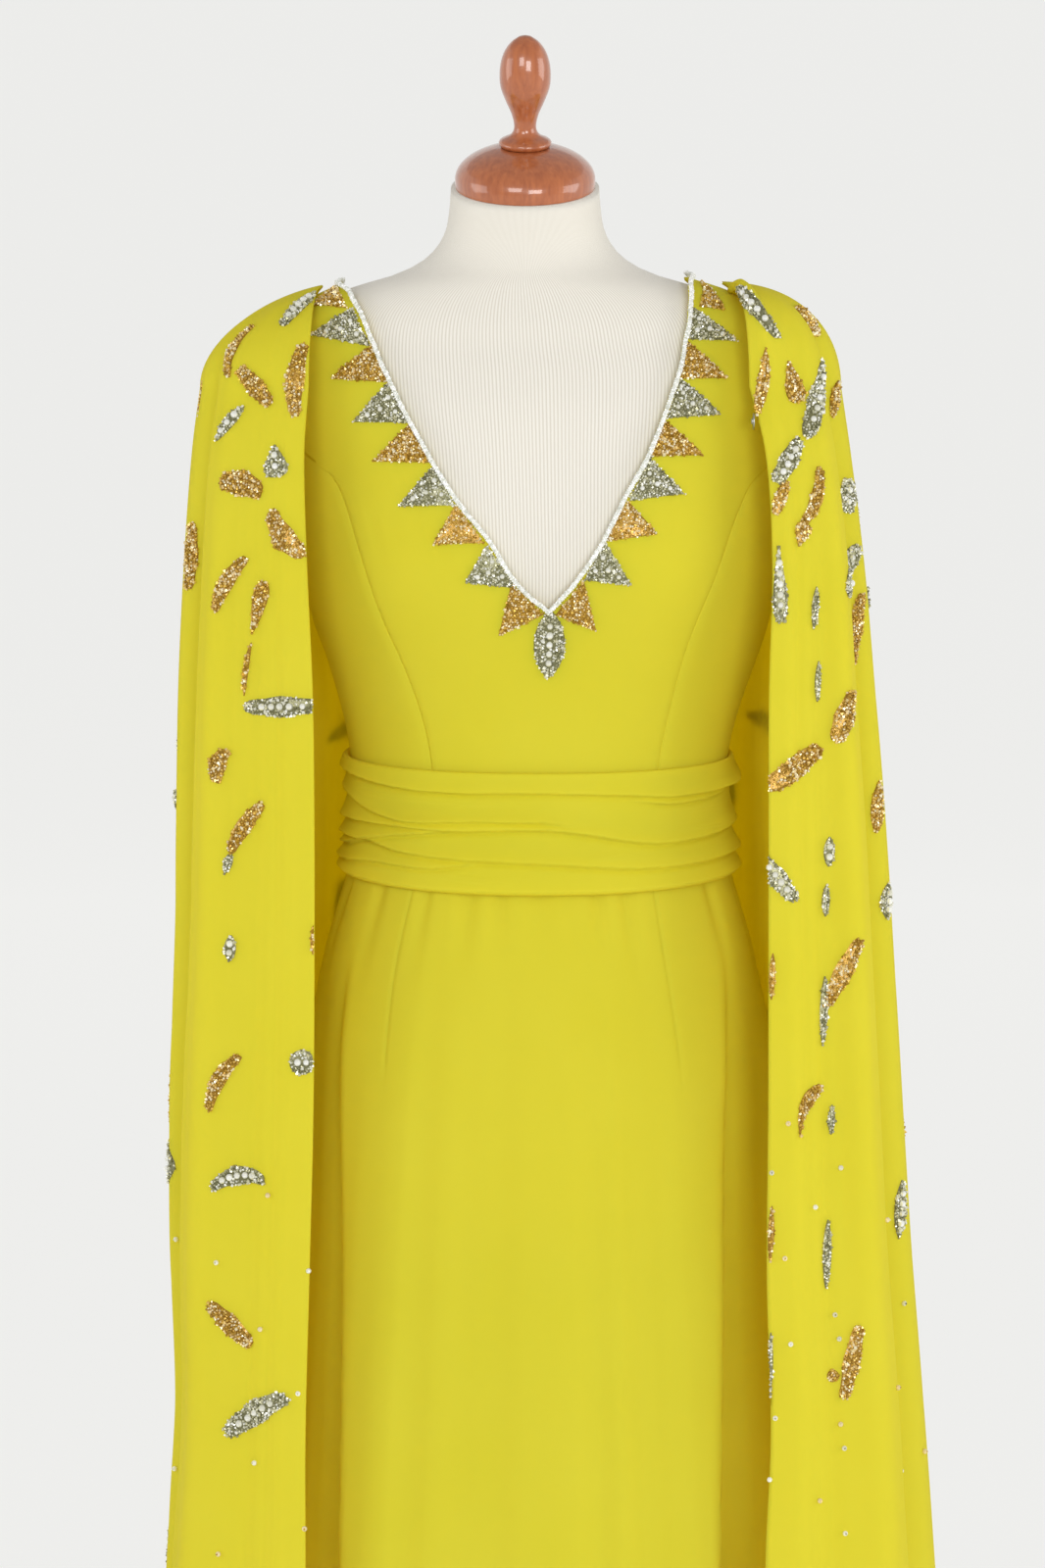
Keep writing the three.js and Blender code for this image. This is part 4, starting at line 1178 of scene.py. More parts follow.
@dataclass(frozen=True)
class StudioPaper(Finish):
    """Matt pale background paper, lit evenly by lamps of its own behind the dress.

    The paper glows, since those lamps aren't in the scene; it is darker behind the camera, where
    the room is.
    """

    name: str = "studio_paper"
    grey: str = "#7C7C7B"
    white: str = "#FFFFFD"
    glow: float = 0.7
    dim: float = 0.3
    reach: float = 6.0

    def surface(self, tree: NodeTree) -> Node:
        """A glow that eases from dim to full with the depth.

        Args:
            tree: The material's node tree.

        Returns:
            The shader.
        """
        place = node(tree, "TexCoord", {}).outputs["Object"]
        depth = node(tree, "SeparateXYZ", {0: place}).outputs["Y"]
        room = {"Value": depth, "From Min": -self.reach, "From Max": self.reach / 3}
        room |= {"To Min": self.dim, "To Max": self.glow}
        strength = node(tree, "MapRange", room, interpolation_type="SMOOTHSTEP").outputs[0]
        look = {"Base Color": linear(self.grey), "Roughness": 0.95}
        look |= {"Emission Color": linear(self.white), "Emission Strength": strength}
        return node(tree, "BsdfPrincipled", look)


class Wardrobe:
    """The finished materials that the pieces share."""

    def __init__(self) -> None:
        """Makes each of them once."""
        self.crepe = Crepe().make()
        self.jersey = RibbedJersey().make()
        self.wood = VarnishedBeech().make()
        self.nickel = NickelPlate().make()
        # each ramp runs from dark to near white; its pale end is partly painted reflection
        self.gold = CutBeads("gold_beads", "#A27A22", "#E0B850", "#FFF6D6").make()
        self.silver = CutBeads("silver_beads", "#7C7A55", "#CDCAA8", "#FFFFFA").make()
        self.crystal = CutBeads("crystal_beads", "#D6D8CC", "#F0F1EA", "#FFFFFF", 0.05).make()

    def beads(self, colour: Finishing) -> Material:
        """The beads of a motif's colour."""
        return self.gold if colour is Finishing.GOLD else self.silver


def dress_piece(piece: Object, material: Material, slot: str, *nodes: str) -> Object:
    """Gives a piece its material and hides the solids that it stands for.

    Args:
        piece: The piece.
        material: Its material.
        slot: Not used.
        nodes: The solids that it stands for.

    Returns:
        The piece.
    """
    piece.data.materials.append(material)
    if nodes:
        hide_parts(*nodes)
    LOG.info("%s: %d faces", piece.name, len(piece.data.polygons))
    return piece


# ---- The form and its stand ----
@dataclass
class DressForm:
    """The limbless form: jersey over the torso and neck, turned wood on top and below."""

    wardrobe: Wardrobe
    columns: int = 180
    step: float = 0.006
    core: float = 0.002  # where a turned profile starts and ends beside its axis
    inset: float = 0.004
    cap_radius: float = 0.054
    cap_edge: float = 0.0015
    cap_band: float = 0.007
    cap_seat: float = 0.032
    cap_seat_radius: float = 0.0205
    finial_top: float = 0.118
    pole_radius: float = 0.015
    base_radius: float = 0.15
    base_foot: float = 0.002
    base_brow: float = 0.01
    base_edge: float = 0.014
    base_shoulder: float = 0.022
    base_boss: float = 0.03
    base_height: float = 0.044

    def torso(self) -> None:
        """The covered torso: rings of the form's surface from the seat to the slanted neck."""
        low, high = TORSO.column("z")[[0, -1]]
        heights = np.linspace(low, high, round((high - low) / self.step))
        angles = np.arange(self.columns + 1) * 2 * pi / self.columns - pi
        z, angle = np.meshgrid(heights, angles, indexing="ij")
        rings = torso_point(angle, z)
        reach = np.linalg.norm(np.diff(rings, axis=1), axis=-1)
        around = np.concatenate([np.zeros((len(heights), 1)), np.cumsum(reach, axis=1)], axis=1)
        around = around[:, :1] + around[len(heights) // 2]
        uv = np.stack([np.broadcast_to(around, z.shape), z], axis=-1).reshape(-1, 2)
        points = rings.reshape(-1, 3)
        columns = self.columns + 1
        faces = [quads(len(heights), columns)]
        for row, sign in ((0, 1), (len(heights) - 1, -1)):
            line = row * columns + np.arange(columns)
            middle = len(points)
            points = np.concatenate([points, rings[row, :-1].mean(axis=0)[None]])
            uv = np.concatenate([uv, uv[line[:1]]])
            fan = np.stack([np.full(columns - 1, middle), line[1:], line[:-1]], axis=-1)
            faces.append(fan[:, ::sign])
        piece = new_piece("form_cover", points, faces, uv=uv)
        weld(piece)
        dress_piece(piece, self.wardrobe.jersey, "jersey", "form_torso")

    def lifted(self, rings: Array) -> Array:
        """Tilts what stands about +Z and puts it onto the slanted neck.

        Args:
            rings: Points.

        Returns:
            The points in place.
        """
        row = TORSO.values[-1]
        tilt = atan(row[-1])
        turn = np.array(
            [[1, 0, 0], [0, np.cos(tilt), -np.sin(tilt)], [0, np.sin(tilt), np.cos(tilt)]]
        )
        return rings @ turn.T + np.array([row[1], row[2], row[0] + SEAM_GAP])

    def lathe(self, name: str, node_name: str, profile: Array, on_neck: bool) -> None:
        """Makes a turned wooden piece.

        Args:
            name: The piece's name.
            node_name: The solid that it stands for.
            profile: Rows of radius and height.
            on_neck: Whether it stands on the slanted neck.
        """
        rings = turned(profile[:, 0], profile[:, 1])
        ends = np.array([[0, 0, profile[0, 1]], [0, 0, profile[-1, 1]]])
        if on_neck:
            rings, ends = self.lifted(rings), self.lifted(ends)
        piece = new_piece(name, *tube(rings, (ends[0], ends[1])))
        dress_piece(piece, self.wardrobe.wood, "wood", node_name)

    def foot(self, radius: float, edge: float) -> Array:
        """A quarter round at the lower edge of a profile.

        Args:
            radius: The profile's radius there.
            edge: The quarter round's own.

        Returns:
            Rows of radius and height.
        """
        b = np.linspace(-pi / 2, 0, 6)
        return np.stack([radius - edge + edge * np.cos(b), edge + edge * np.sin(b)], axis=-1)

    def cap_profile(self) -> Array:
        """Draws a short rounded band, then an elliptic dome up to the finial's seat.

        Returns:
            Rows of radius and height.
        """
        edge = np.arccos(self.cap_seat_radius / self.cap_radius)
        a = np.linspace(0, edge, 20)
        rise = (self.cap_seat - self.cap_band) / np.sin(edge)
        dome = np.stack([self.cap_radius * np.cos(a), self.cap_band + rise * np.sin(a)], axis=-1)
        foot = self.foot(self.cap_radius, self.cap_edge)
        top = [[self.cap_seat_radius - self.inset, self.cap_seat], [self.core, self.cap_seat]]
        start = [[self.core, 0], [self.cap_radius - self.inset, 0]]
        return np.concatenate([start, foot, dome, top])

    def finial_profile(self) -> Array:
        """Draws the finial's table as a smooth curve, and a round top.

        Returns:
            Rows of radius and height.
        """
        heights = np.linspace(FINIAL.column("h")[0], FINIAL.column("h")[-1], 70)
        body = np.stack([FINIAL.at("r", "h", heights), heights], axis=-1)
        tip = [[0.003, self.finial_top - 0.0004], [0.001, self.finial_top]]
        return np.concatenate([[[self.core, heights[0]]], body, tip])

    def base_profile(self) -> Array:
        """Draws a flat foot with a rounded edge that sweeps up to the pole's boss.

        Returns:
            Rows of radius and height.
        """
        foot = self.foot(self.base_radius, self.base_foot)
        c = np.linspace(0, pi / 2, 8)
        drop = self.base_shoulder - self.base_edge
        brow_x = self.base_radius - self.base_brow * (1 - np.cos(c))
        brow = np.stack([brow_x, self.base_edge + drop * np.sin(c)], axis=-1)
        t = np.linspace(0, 1, 24)[1:]
        sweep_x = mix(self.base_radius - self.base_brow, self.base_boss, ease(t) ** 0.7)
        sweep_z = mix(self.base_shoulder, self.base_height - self.inset, t**4)
        sweep = np.stack([sweep_x, sweep_z], axis=-1)
        top = [[self.base_boss - self.inset, self.base_height], [self.core, self.base_height]]
        return np.concatenate([[[self.core, 0]], foot, brow, sweep, top])

    def pole_profile(self) -> Array:
        """Draws a straight round pole from the boss to the form.

        Returns:
            Rows of radius and height.
        """
        low, high = self.base_height + SEAM_GAP, TORSO.column("z")[0] - SEAM_GAP
        heights = np.linspace(low, high, 12)
        side = np.stack([np.full(12, self.pole_radius), heights], axis=-1)
        return np.concatenate([[[self.core, low]], side, [[self.core, high]]])

    def make(self) -> None:
        """Makes the form and its stand."""
        self.torso()
        self.lathe("wooden_neck_cap", "neck_cap", self.cap_profile(), True)
        self.lathe("wooden_finial", "finial", self.finial_profile(), True)
        self.lathe("wooden_pole", "stand_pole", self.pole_profile(), False)
        self.lathe("wooden_base", "stand_base", self.base_profile(), False)


def weld(piece: Object) -> None:
    """Joins vertices of a piece that lie on each other, such as where a grid closes on itself."""
    modifier = piece.modifiers.new("weld", "WELD")
    modifier.merge_threshold = 1e-6


# ---- Bodice ----
def front_place(x: Array, z: Array) -> Array:
    """Finds where a place that is seen from the front lies on the bodice.

    Args:
        x: How far to +X.
        z: Heights.

    Returns:
        Angles round the body.
    """
    reach = TORSO.at("w", "z", z) + FORM_CLEARANCE + CLOTH
    share = np.clip((x - TORSO.at("cx", "z", z)) / reach, -1, 1)
    return np.arcsin(signed_power(share, SECTION_POWER / 2))


def spread_line(angle: Array, z: Array, steps: int) -> Array:
    """Spaces a line on the form evenly by its length over the body.

    Args:
        angle: Its angles.
        z: Its heights.
        steps: Into how many steps.

    Returns:
        Angles and heights.
    """
    reach = np.linalg.norm(np.diff(torso_point(angle, z), axis=0), axis=-1)
    line = Rows("reach angle z", *np.stack([np.r_[0, np.cumsum(reach)], angle, z], axis=-1))
    at = np.linspace(0, line.column("reach")[-1], steps + 1)
    return np.stack([line.at("angle", "reach", at), line.at("z", "reach", at)], axis=-1)


def cut_line(rows: Rows, steps: int) -> Array:
    """A cut line of the front as angles and heights on the form."""
    x, z = rows.column("x"), rows.column("z")
    return spread_line(front_place(x, z), z, steps)


@dataclass
class Bodice:
    """Sleeveless bodice: a front between princess seams, two side fronts and two backs."""

    wardrobe: Wardrobe
    fine: int = 6  # grid steps for each step of the solids
    princess_steps: int = 7
    armhole_steps: int = 9
    v_row: int = 5
    back_centre_steps: int = 9
    columns: int = 40
    side_columns: int = 18
    seam_dip: float = 0.0007
    seam_reach: float = 0.0011
    seam_share: float = 0.009
    off_left: float = 0.006
    off_right: float = 0.011
    off_from: float = 1.13
    off_to: float = 1.42
    off_angle: float = 96
    off_reach: float = 52
    # Soft creases of the front: their upper and lower ends, how wide and how deep.
    creases: Rows = Rows(
        "x_top z_top x_low z_low width depth",
        (-0.11, 1.412, -0.075, 1.285, 0.008, 0.0011),
        (-0.092, 1.378, -0.052, 1.262, 0.009, 0.0009),
        (-0.128, 1.372, -0.105, 1.275, 0.007, 0.0008), (0.12, 1.402, 0.086, 1.29, 0.008, 0.0009),
        (0.06, 1.2, 0.03, 1.15, 0.008, 0.0008), (-0.06, 1.205, -0.025, 1.15, 0.008, 0.0008),
    )

    def panel(self, first: Array, last: Array, columns: int, seams: tuple[bool, bool]) -> tuple:
        """A panel between two lines on the form.

        Its places are mixed from one line to the other. At a seam the cloth dips like a Gaussian
        curve of the distance to the seam line.

        Args:
            first: Angles and heights of one edge, from the waist up.
            last: Those of the other edge.
            columns: Steps across.
            seams: Whether the first and the last edge are seams.

        Returns:
            The outer and inner faces.
        """
        share = np.linspace(0, 1, columns + 1)
        share = np.r_[0, share[1:-1] * (1 - 4 * self.seam_share) + 2 * self.seam_share, 1]
        share = np.r_[0, self.seam_share, share[1:-1], 1 - self.seam_share, 1][None, :, None]
        place = mix(first[:, None], last[:, None], share)
        base = torso_point(place[..., 0], place[..., 1])
        normal = torso_normal(place[..., 0], place[..., 1])
        steps = np.linalg.norm(np.diff(base, axis=1), axis=-1)
        along = np.concatenate([np.zeros((len(base), 1)), np.cumsum(steps, axis=1)], axis=1)
        dip = np.zeros(along.shape)
        for seam, away in zip(seams, (along, along[:, -1:] - along)):
            dip += seam * np.exp(-((away / self.seam_reach) ** 2))
        off = FORM_CLEARANCE + self.stand_off(place)
        top = off + CLOTH - self.seam_dip * dip - self.creased(base)
        inner = base + normal * (off - self.seam_dip * 0.5 * dip)[..., None]
        outer = base + normal * top[..., None]
        for seam, edge, beside in ((seams[0], 0, 1), (seams[1], -1, -2)):
            if not seam:
                continue
            square = unit(base[:, beside] - base[:, edge]) * SEAM_GAP * 0.4
            outer[:, edge] += square
            inner[:, edge] += square
        return outer, inner

    def stand_off(self, place: Array) -> Array:
        """How far the cloth stands off the form under the arms.

        A lobe of the angle round the side, which eases in above the waist and out below the
        shoulder.

        Args:
            place: Angles and heights.

        Returns:
            Distances.
        """
        angle, z = place[..., 0], place[..., 1]
        most = np.where(angle < 0, self.off_left, self.off_right)
        high = ease((z - self.off_from) / 0.12) * ease((self.off_to - z) / 0.09)
        away = np.abs(angle) - radians(self.off_angle)
        return most * high * lobe(away / radians(self.off_reach))

    def creased(self, base: Array) -> Array:
        """How deep the creases are.

        A crease is a hump of the distance to its line, seen from the front, which eases out
        towards the line's ends.

        Args:
            base: Points of the form.

        Returns:
            Depths.
        """
        flat = base[..., [0, 2]]
        depth = np.zeros(flat.shape[:-1])
        for x_top, z_top, x_low, z_low, width, full in self.creases.values:
            start = np.array([x_top, z_top])
            line = np.array([x_low, z_low]) - start
            along = (flat - start) @ line / (line @ line)
            away = np.linalg.norm(flat - start - along[..., None] * line, axis=-1)
            depth += full * lobe(away / width) * lobe(2 * along - 1) * (base[..., 1] < 0)
        return depth

    def side_seam(self, side: int) -> Array:
        """The side seam, -1 or 1: straight up the form's side to the underarm."""
        z = np.linspace(WAIST_Z, UNDERARM_Z, self.princess_steps * self.fine + 1)
        return np.stack([np.full(len(z), side * SIDE_SEAM_ANGLE), z], axis=-1)

    def princess(self, side: int) -> Array:
        """The princess seam of one side."""
        return cut_line(PRINCESS[side], self.princess_steps * self.fine)

    def front(self) -> None:
        """Makes the front: one wall of two halves, which part at the neckline's point."""
        halves = []
        upper = self.princess_steps + self.armhole_steps - self.v_row
        for side in (-1, 1):
            neckline, armhole = NECKLINE[side], ARMHOLE[side]
            point = neckline.values[0]
            steps = np.linspace(0, 1, self.v_row * self.fine + 1)
            waist = TORSO.at("cx", "z", np.array(WAIST_Z))
            x, z = mix(waist, point[0], steps), mix(WAIST_Z, point[1], steps)
            centre = np.stack([front_place(x, z), z], axis=-1)
            inner_line = np.concatenate([centre, cut_line(neckline, upper * self.fine)[1:]])
            outer_line = np.concatenate(
                [self.princess(side), cut_line(armhole, self.armhole_steps * self.fine)[1:]]
            )
            halves.append(self.panel(inner_line, outer_line, self.columns, (False, True)))
        left, right = halves
        mirrored = (left[0][:, ::-1], left[1][:, ::-1])
        piece = new_piece("front_centre_panel", *wall(mirrored, right))
        dress_piece(piece, self.wardrobe.crepe, "crepe", "bodice_front_centre")

    def side_front(self, side: int, name: str) -> None:
        """Makes a side front, from the princess seam round to the side seam.

        Args:
            side: -1 or 1.
            name: Its name.
        """
        seams = self.princess(side), self.side_seam(side)
        faces = self.panel(*seams, self.side_columns, (True, True))
        piece = new_piece(f"side_front_panel_{name}", *wall(faces))
        dress_piece(piece, self.wardrobe.crepe, "crepe", f"bodice_side_front_{name}")

    def back(self, side: int, name: str) -> None:
        """Makes a back, from the centre back seam to the side seam and armhole.

        Args:
            side: -1 or 1.
            name: Its name.
        """
        count = self.back_centre_steps * self.fine
        z = np.linspace(WAIST_Z, BACK_NECK_Z, count + 1)[:-1]
        centre = np.stack([np.full(count, side * pi), z], axis=-1)
        steps = (self.princess_steps + self.armhole_steps - self.back_centre_steps) * self.fine
        t = np.linspace(0, 1, steps + 1)
        neck_z = mix(BACK_NECK_Z, NECKLINE[side].values[-1, 1], ease(t))
        neck = np.stack([side * mix(pi, pi / 2, t), neck_z], axis=-1)
        armhole = spread_line(
            side * np.radians(BACK_ARMHOLE.column("angle")),
            BACK_ARMHOLE.column("z"),
            self.armhole_steps * self.fine,
        )
        outer_line = np.concatenate([self.side_seam(side), armhole[1:]])
        faces = self.panel(np.concatenate([centre, neck]), outer_line, self.columns, (True, True))
        piece = new_piece(f"back_panel_{name}", *wall(faces))
        dress_piece(piece, self.wardrobe.crepe, "crepe", f"bodice_back_{name}")

    def make(self) -> None:
        """Makes the five panels."""
        self.front()
        for side, name in ((-1, "left"), (1, "right")):
            self.side_front(side, name)
            self.back(side, name)


@dataclass
class Neckline:
    """The beaded edge of the neckline: a crystal cord, a saw edge of triangles and one leaf.

    The triangles alternate gold and silver down each side. Each has its tip out on the bodice and
    two corners on the cord; these and the leaf's middle are pixels of the camera's frame.
    """

    wardrobe: Wardrobe
    camera: StudioCamera
    cord_pitch: float = 0.0019
    cord_steps: int = 160
    cord_rise: float = 0.0005
    cord_core: float = 0.0011
    cord_beads: tuple = (0.0012, 0.0015)
    cord_turns: tuple = (-0.75, 0.0, 0.75)  # of its rows of beads, in radians
    around: int = 8
    pad_rings: int = 10
    pad_height: float = 0.0005
    pitch: float = 0.0021
    left: tuple = (
        ((329, 306), (349, 289), (361, 313)), ((321, 339), (362, 314), (379, 352)),
        ((338, 384), (377, 351), (393, 391)), ((361, 428), (394, 391), (414, 431)),
        ((380, 470), (414, 432), (437, 473)), ((406, 517), (440, 474), (462, 516)),
        ((442, 557), (464, 516), (492, 557)), ((474, 592), (494, 556), (524, 601)),
        ((511, 651), (522, 598), (556, 630)),
    )
    right: tuple = (
        ((731, 312), (709, 287), (707, 313)), ((749, 347), (706, 313), (702, 347)),
        ((741, 386), (702, 347), (696, 388)), ((734, 424), (696, 388), (681, 428)),
        ((718, 464), (681, 428), (665, 466)), ((698, 502), (665, 466), (643, 510)),
        ((671, 544), (643, 510), (620, 553)), ((643, 597), (619, 553), (596, 592)),
        ((608, 644), (596, 596), (566, 630)),
    )
    leaf_middle: tuple = (561, 659)
    leaf_length: float = 0.054
    leaf_width: float = 0.0245
    tuck: float = 0.0026
    beads: BeadMix = BeadMix(0.1, 0.0017, (0.001, 0.00135), 0.7)
    pearl_radius: float = 0.002
    # Where the round stones sit in a triangle, as shares of its tip and its two base corners.
    pearls: tuple = ((0.38, 0.31, 0.31), (0.66, 0.17, 0.17), (0.14, 0.6, 0.26), (0.14, 0.26, 0.6))

    def loop(self, steps: int) -> tuple[Array, Array]:
        """Runs the neckline up its left side, round the back and down its right side.

        Args:
            steps: Into how many steps each quarter is parted.

        Returns:
            Points and normals of the form.
        """
        left, right = cut_line(NECKLINE[-1], steps), cut_line(NECKLINE[1], steps)
        t = np.linspace(0, 1, steps + 1)[1:]

        def behind(side: int, z: float) -> Array:
            """Half of the back neckline, from the shoulder to the centre back."""
            angle = side * mix(pi / 2, pi, t)
            return np.stack([angle, mix(z, BACK_NECK_Z, 1 - ease(1 - t))], axis=-1)

        back_left, back_right = behind(-1, left[-1, 1]), behind(1, right[-1, 1])
        line = np.concatenate([left, back_left, back_right[:-1][::-1], right[1:][::-1]])
        return torso_point(*line.T), torso_normal(*line.T)

    def cord(self) -> None:
        """The crystal cord: three staggered rows of beads wound on a thread core."""
        base, normal = self.loop(self.cord_steps)
        off = FORM_CLEARANCE + CLOTH + SEAM_GAP + CORD_RADIUS + self.cord_rise
        centre = base + normal * off
        closed = np.concatenate([centre, centre[:1]])
        reach = np.r_[0, np.cumsum(np.linalg.norm(np.diff(closed, axis=0), axis=-1))]
        count = int(reach[-1] / self.cord_pitch)
        at = np.arange(count) * reach[-1] / count
        middle, lift = (
            np.stack([np.interp(at, reach, line[:, k]) for k in range(3)], axis=-1)
            for line in (closed, np.concatenate([normal, normal[:1]]))
        )
        lift = unit(lift)
        along = unit(np.roll(middle, -1, axis=0) - np.roll(middle, 1, axis=0))
        across = np.cross(along, lift)
        bag = BeadBag(np.random.default_rng(11))
        for k, turn in enumerate(self.cord_turns):
            shift = along * self.cord_pitch * (k % 2) / 2
            out = across * np.sin(turn) + lift * np.cos(turn)
            radii = bag.rng.uniform(*self.cord_beads, count)
            bag.add(middle + shift + out * CORD_RADIUS * 0.8, radii)
        a = (np.arange(self.around) * 2 * pi / self.around)[None, :, None]
        ring = across[:, None] * np.cos(a) + lift[:, None] * np.sin(a)
        core = (middle[:, None] + self.cord_core * ring).reshape(-1, 3)
        first = np.arange(self.around)
        last = (count - 1) * self.around + first
        joint = np.stack([last, np.roll(last, -1), np.roll(first, -1), first], axis=-1)
        bag.pads.append((core, [quads(count, self.around, wrap=True), joint]))
        piece = bag.make("neckline_crystal_cord")
        dress_piece(piece, self.wardrobe.crystal, "beadwork", "neckline_cord")

    def face(self) -> ClothFace:
        """Makes the grid that the triangles are sewn onto.

        Returns:
            The bodice's outer face round the neckline.
        """
        degrees, heights = np.arange(-100, 100.1, 0.5), np.arange(1.17, 1.512, 0.002)
        angle, z = np.meshgrid(np.radians(degrees), heights)
        normal = torso_normal(angle, z)
        lift = FORM_CLEARANCE + CLOTH + THREAD
        return ClothFace(torso_point(angle, z) + normal * lift, normal)

    def triangle(self, bag: BeadBag, face: ClothFace, corners: tuple, pearled: bool) -> None:
        """Fills a triangle with beads round its stones, over a low pad.

        Args:
            bag: Takes the beads.
            face: What the triangle is sewn onto.
            corners: Its tip and its two base corners, which are tucked under the cord.
            pearled: Whether it has round stones.
        """
        seats = np.array([face.seat_at(self.camera, corner) for corner in corners], float)
        ends = face.sample(seats[:, 0], seats[:, 1])[0]
        middle = ends.mean(axis=0)
        seat = tuple(np.round(seats.mean(axis=0)).astype(int))
        normal = face.normals[seat]
        along = unit(ends[0] - (ends[1] + ends[2]) / 2)
        across = np.cross(normal, along)
        flat = np.stack([(ends - middle) @ along, (ends - middle) @ across], axis=-1)
        flat[1:, 0] -= self.tuck
        size = np.ptp(flat, axis=0) * 1.3
        places = scattered(bag.rng, *size, self.pitch)
        shares = np.linalg.solve(
            np.vstack([flat.T, np.ones(3)]), np.vstack([places.T, np.ones(len(places))])
        )
        inside = shares.min(axis=0) > -0.01
        if pearled:
            stones = np.array(self.pearls) @ flat
            points, normals, _ = face.spread(seat, along, *stones.T)
            bag.add_cabochons(points, normals, self.pearl_radius, 0.55)
            inside &= clear_of(places, stones, self.pearl_radius * 1.25)
        points, normals, _ = face.spread(seat, along, *places[inside].T)
        radii = self.beads.radii(bag.rng, len(points))
        bag.add(points + normals * (radii * self.beads.lift)[:, None], radii)
        t = np.linspace(0.02, 0.98, self.pad_rings)[:, None]
        a = np.arange(self.around) * 2 * pi / self.around
        low, high = mix(flat[0], flat[1], 1 - t)[:, None], mix(flat[0], flat[2], 1 - t)[:, None]
        ring = low + (high - low) * ((1 + np.cos(a)) / 2)[None, :, None]
        under = face.spread(seat, along, ring[..., 0].ravel(), ring[..., 1].ravel())
        bag.add_pad(under, np.tile(np.sin(a) * self.pad_height + THREAD, len(t)), self.around)

    def make(self) -> None:
        """Makes the cord, the triangles of each colour and the leaf under the point."""
        self.cord()
        face = self.face()
        for first, colour in enumerate((G, S)):
            bag = BeadBag(np.random.default_rng(21 + first))
            for corners in (*self.left[first::2], *self.right[first::2]):
                self.triangle(bag, face, corners, colour is S)
            if colour is S:
                leaf = BeadedMotif(LEAF, self.leaf_length, self.leaf_width, cabochons=5)
                seat = face.seat_at(self.camera, self.leaf_middle)
                leaf.sew(bag, face, seat, np.array([0.03, 0, 1.0]))
            piece = bag.make(f"neckline_{colour.value}_triangles")
            dress_piece(piece, self.wardrobe.beads(colour), "beadwork")


# ---- Cummerbund ----
@dataclass(frozen=True)
class Pleat:
    """One soft pleat: its lower line round the waist as degrees and shares of the height.

    Its lip laps over the cloth below and thins upwards; past its ends it melts into the band.
    """

    line: tuple[tuple[float, float], ...]
    proud: float = 0.0032
    reach: float = 0.2
    fade: float = 14.0
    fullness: float = 1.9
    lip: float = 0.06
    groove: float = 0.0013
    groove_below: float = 0.012
    groove_width: float = 0.016

    def lift(self, angle: Array, share: Array) -> Array:
        """How far the pleat lifts the band: a steep ease at its line, then a slow decay.

        Just below the line the band is pressed in by a narrow Gaussian groove.

        Args:
            angle: Degrees round the waist.
            share: Shares of the band's height.

        Returns:
            Distances.
        """
        places = np.array(self.line)
        table = Rows("angle share", *self.line)
        away = (share - table.at("share", "angle", angle)) / self.reach
        shape = ease(away / self.lip) * np.exp(-1.6 * np.maximum(away, 0) ** 1.2)
        lift = self.proud * self.fullness * shape
        below = away * self.reach + self.groove_below
        lift = lift - self.groove * np.exp(-((below / self.groove_width) ** 2))
        if places[0, 0] <= -180 and places[-1, 0] >= 180:
            return lift
        ends = ease((angle - places[0, 0]) / self.fade) * ease((places[-1, 0] - angle) / self.fade)
        return lift * ends


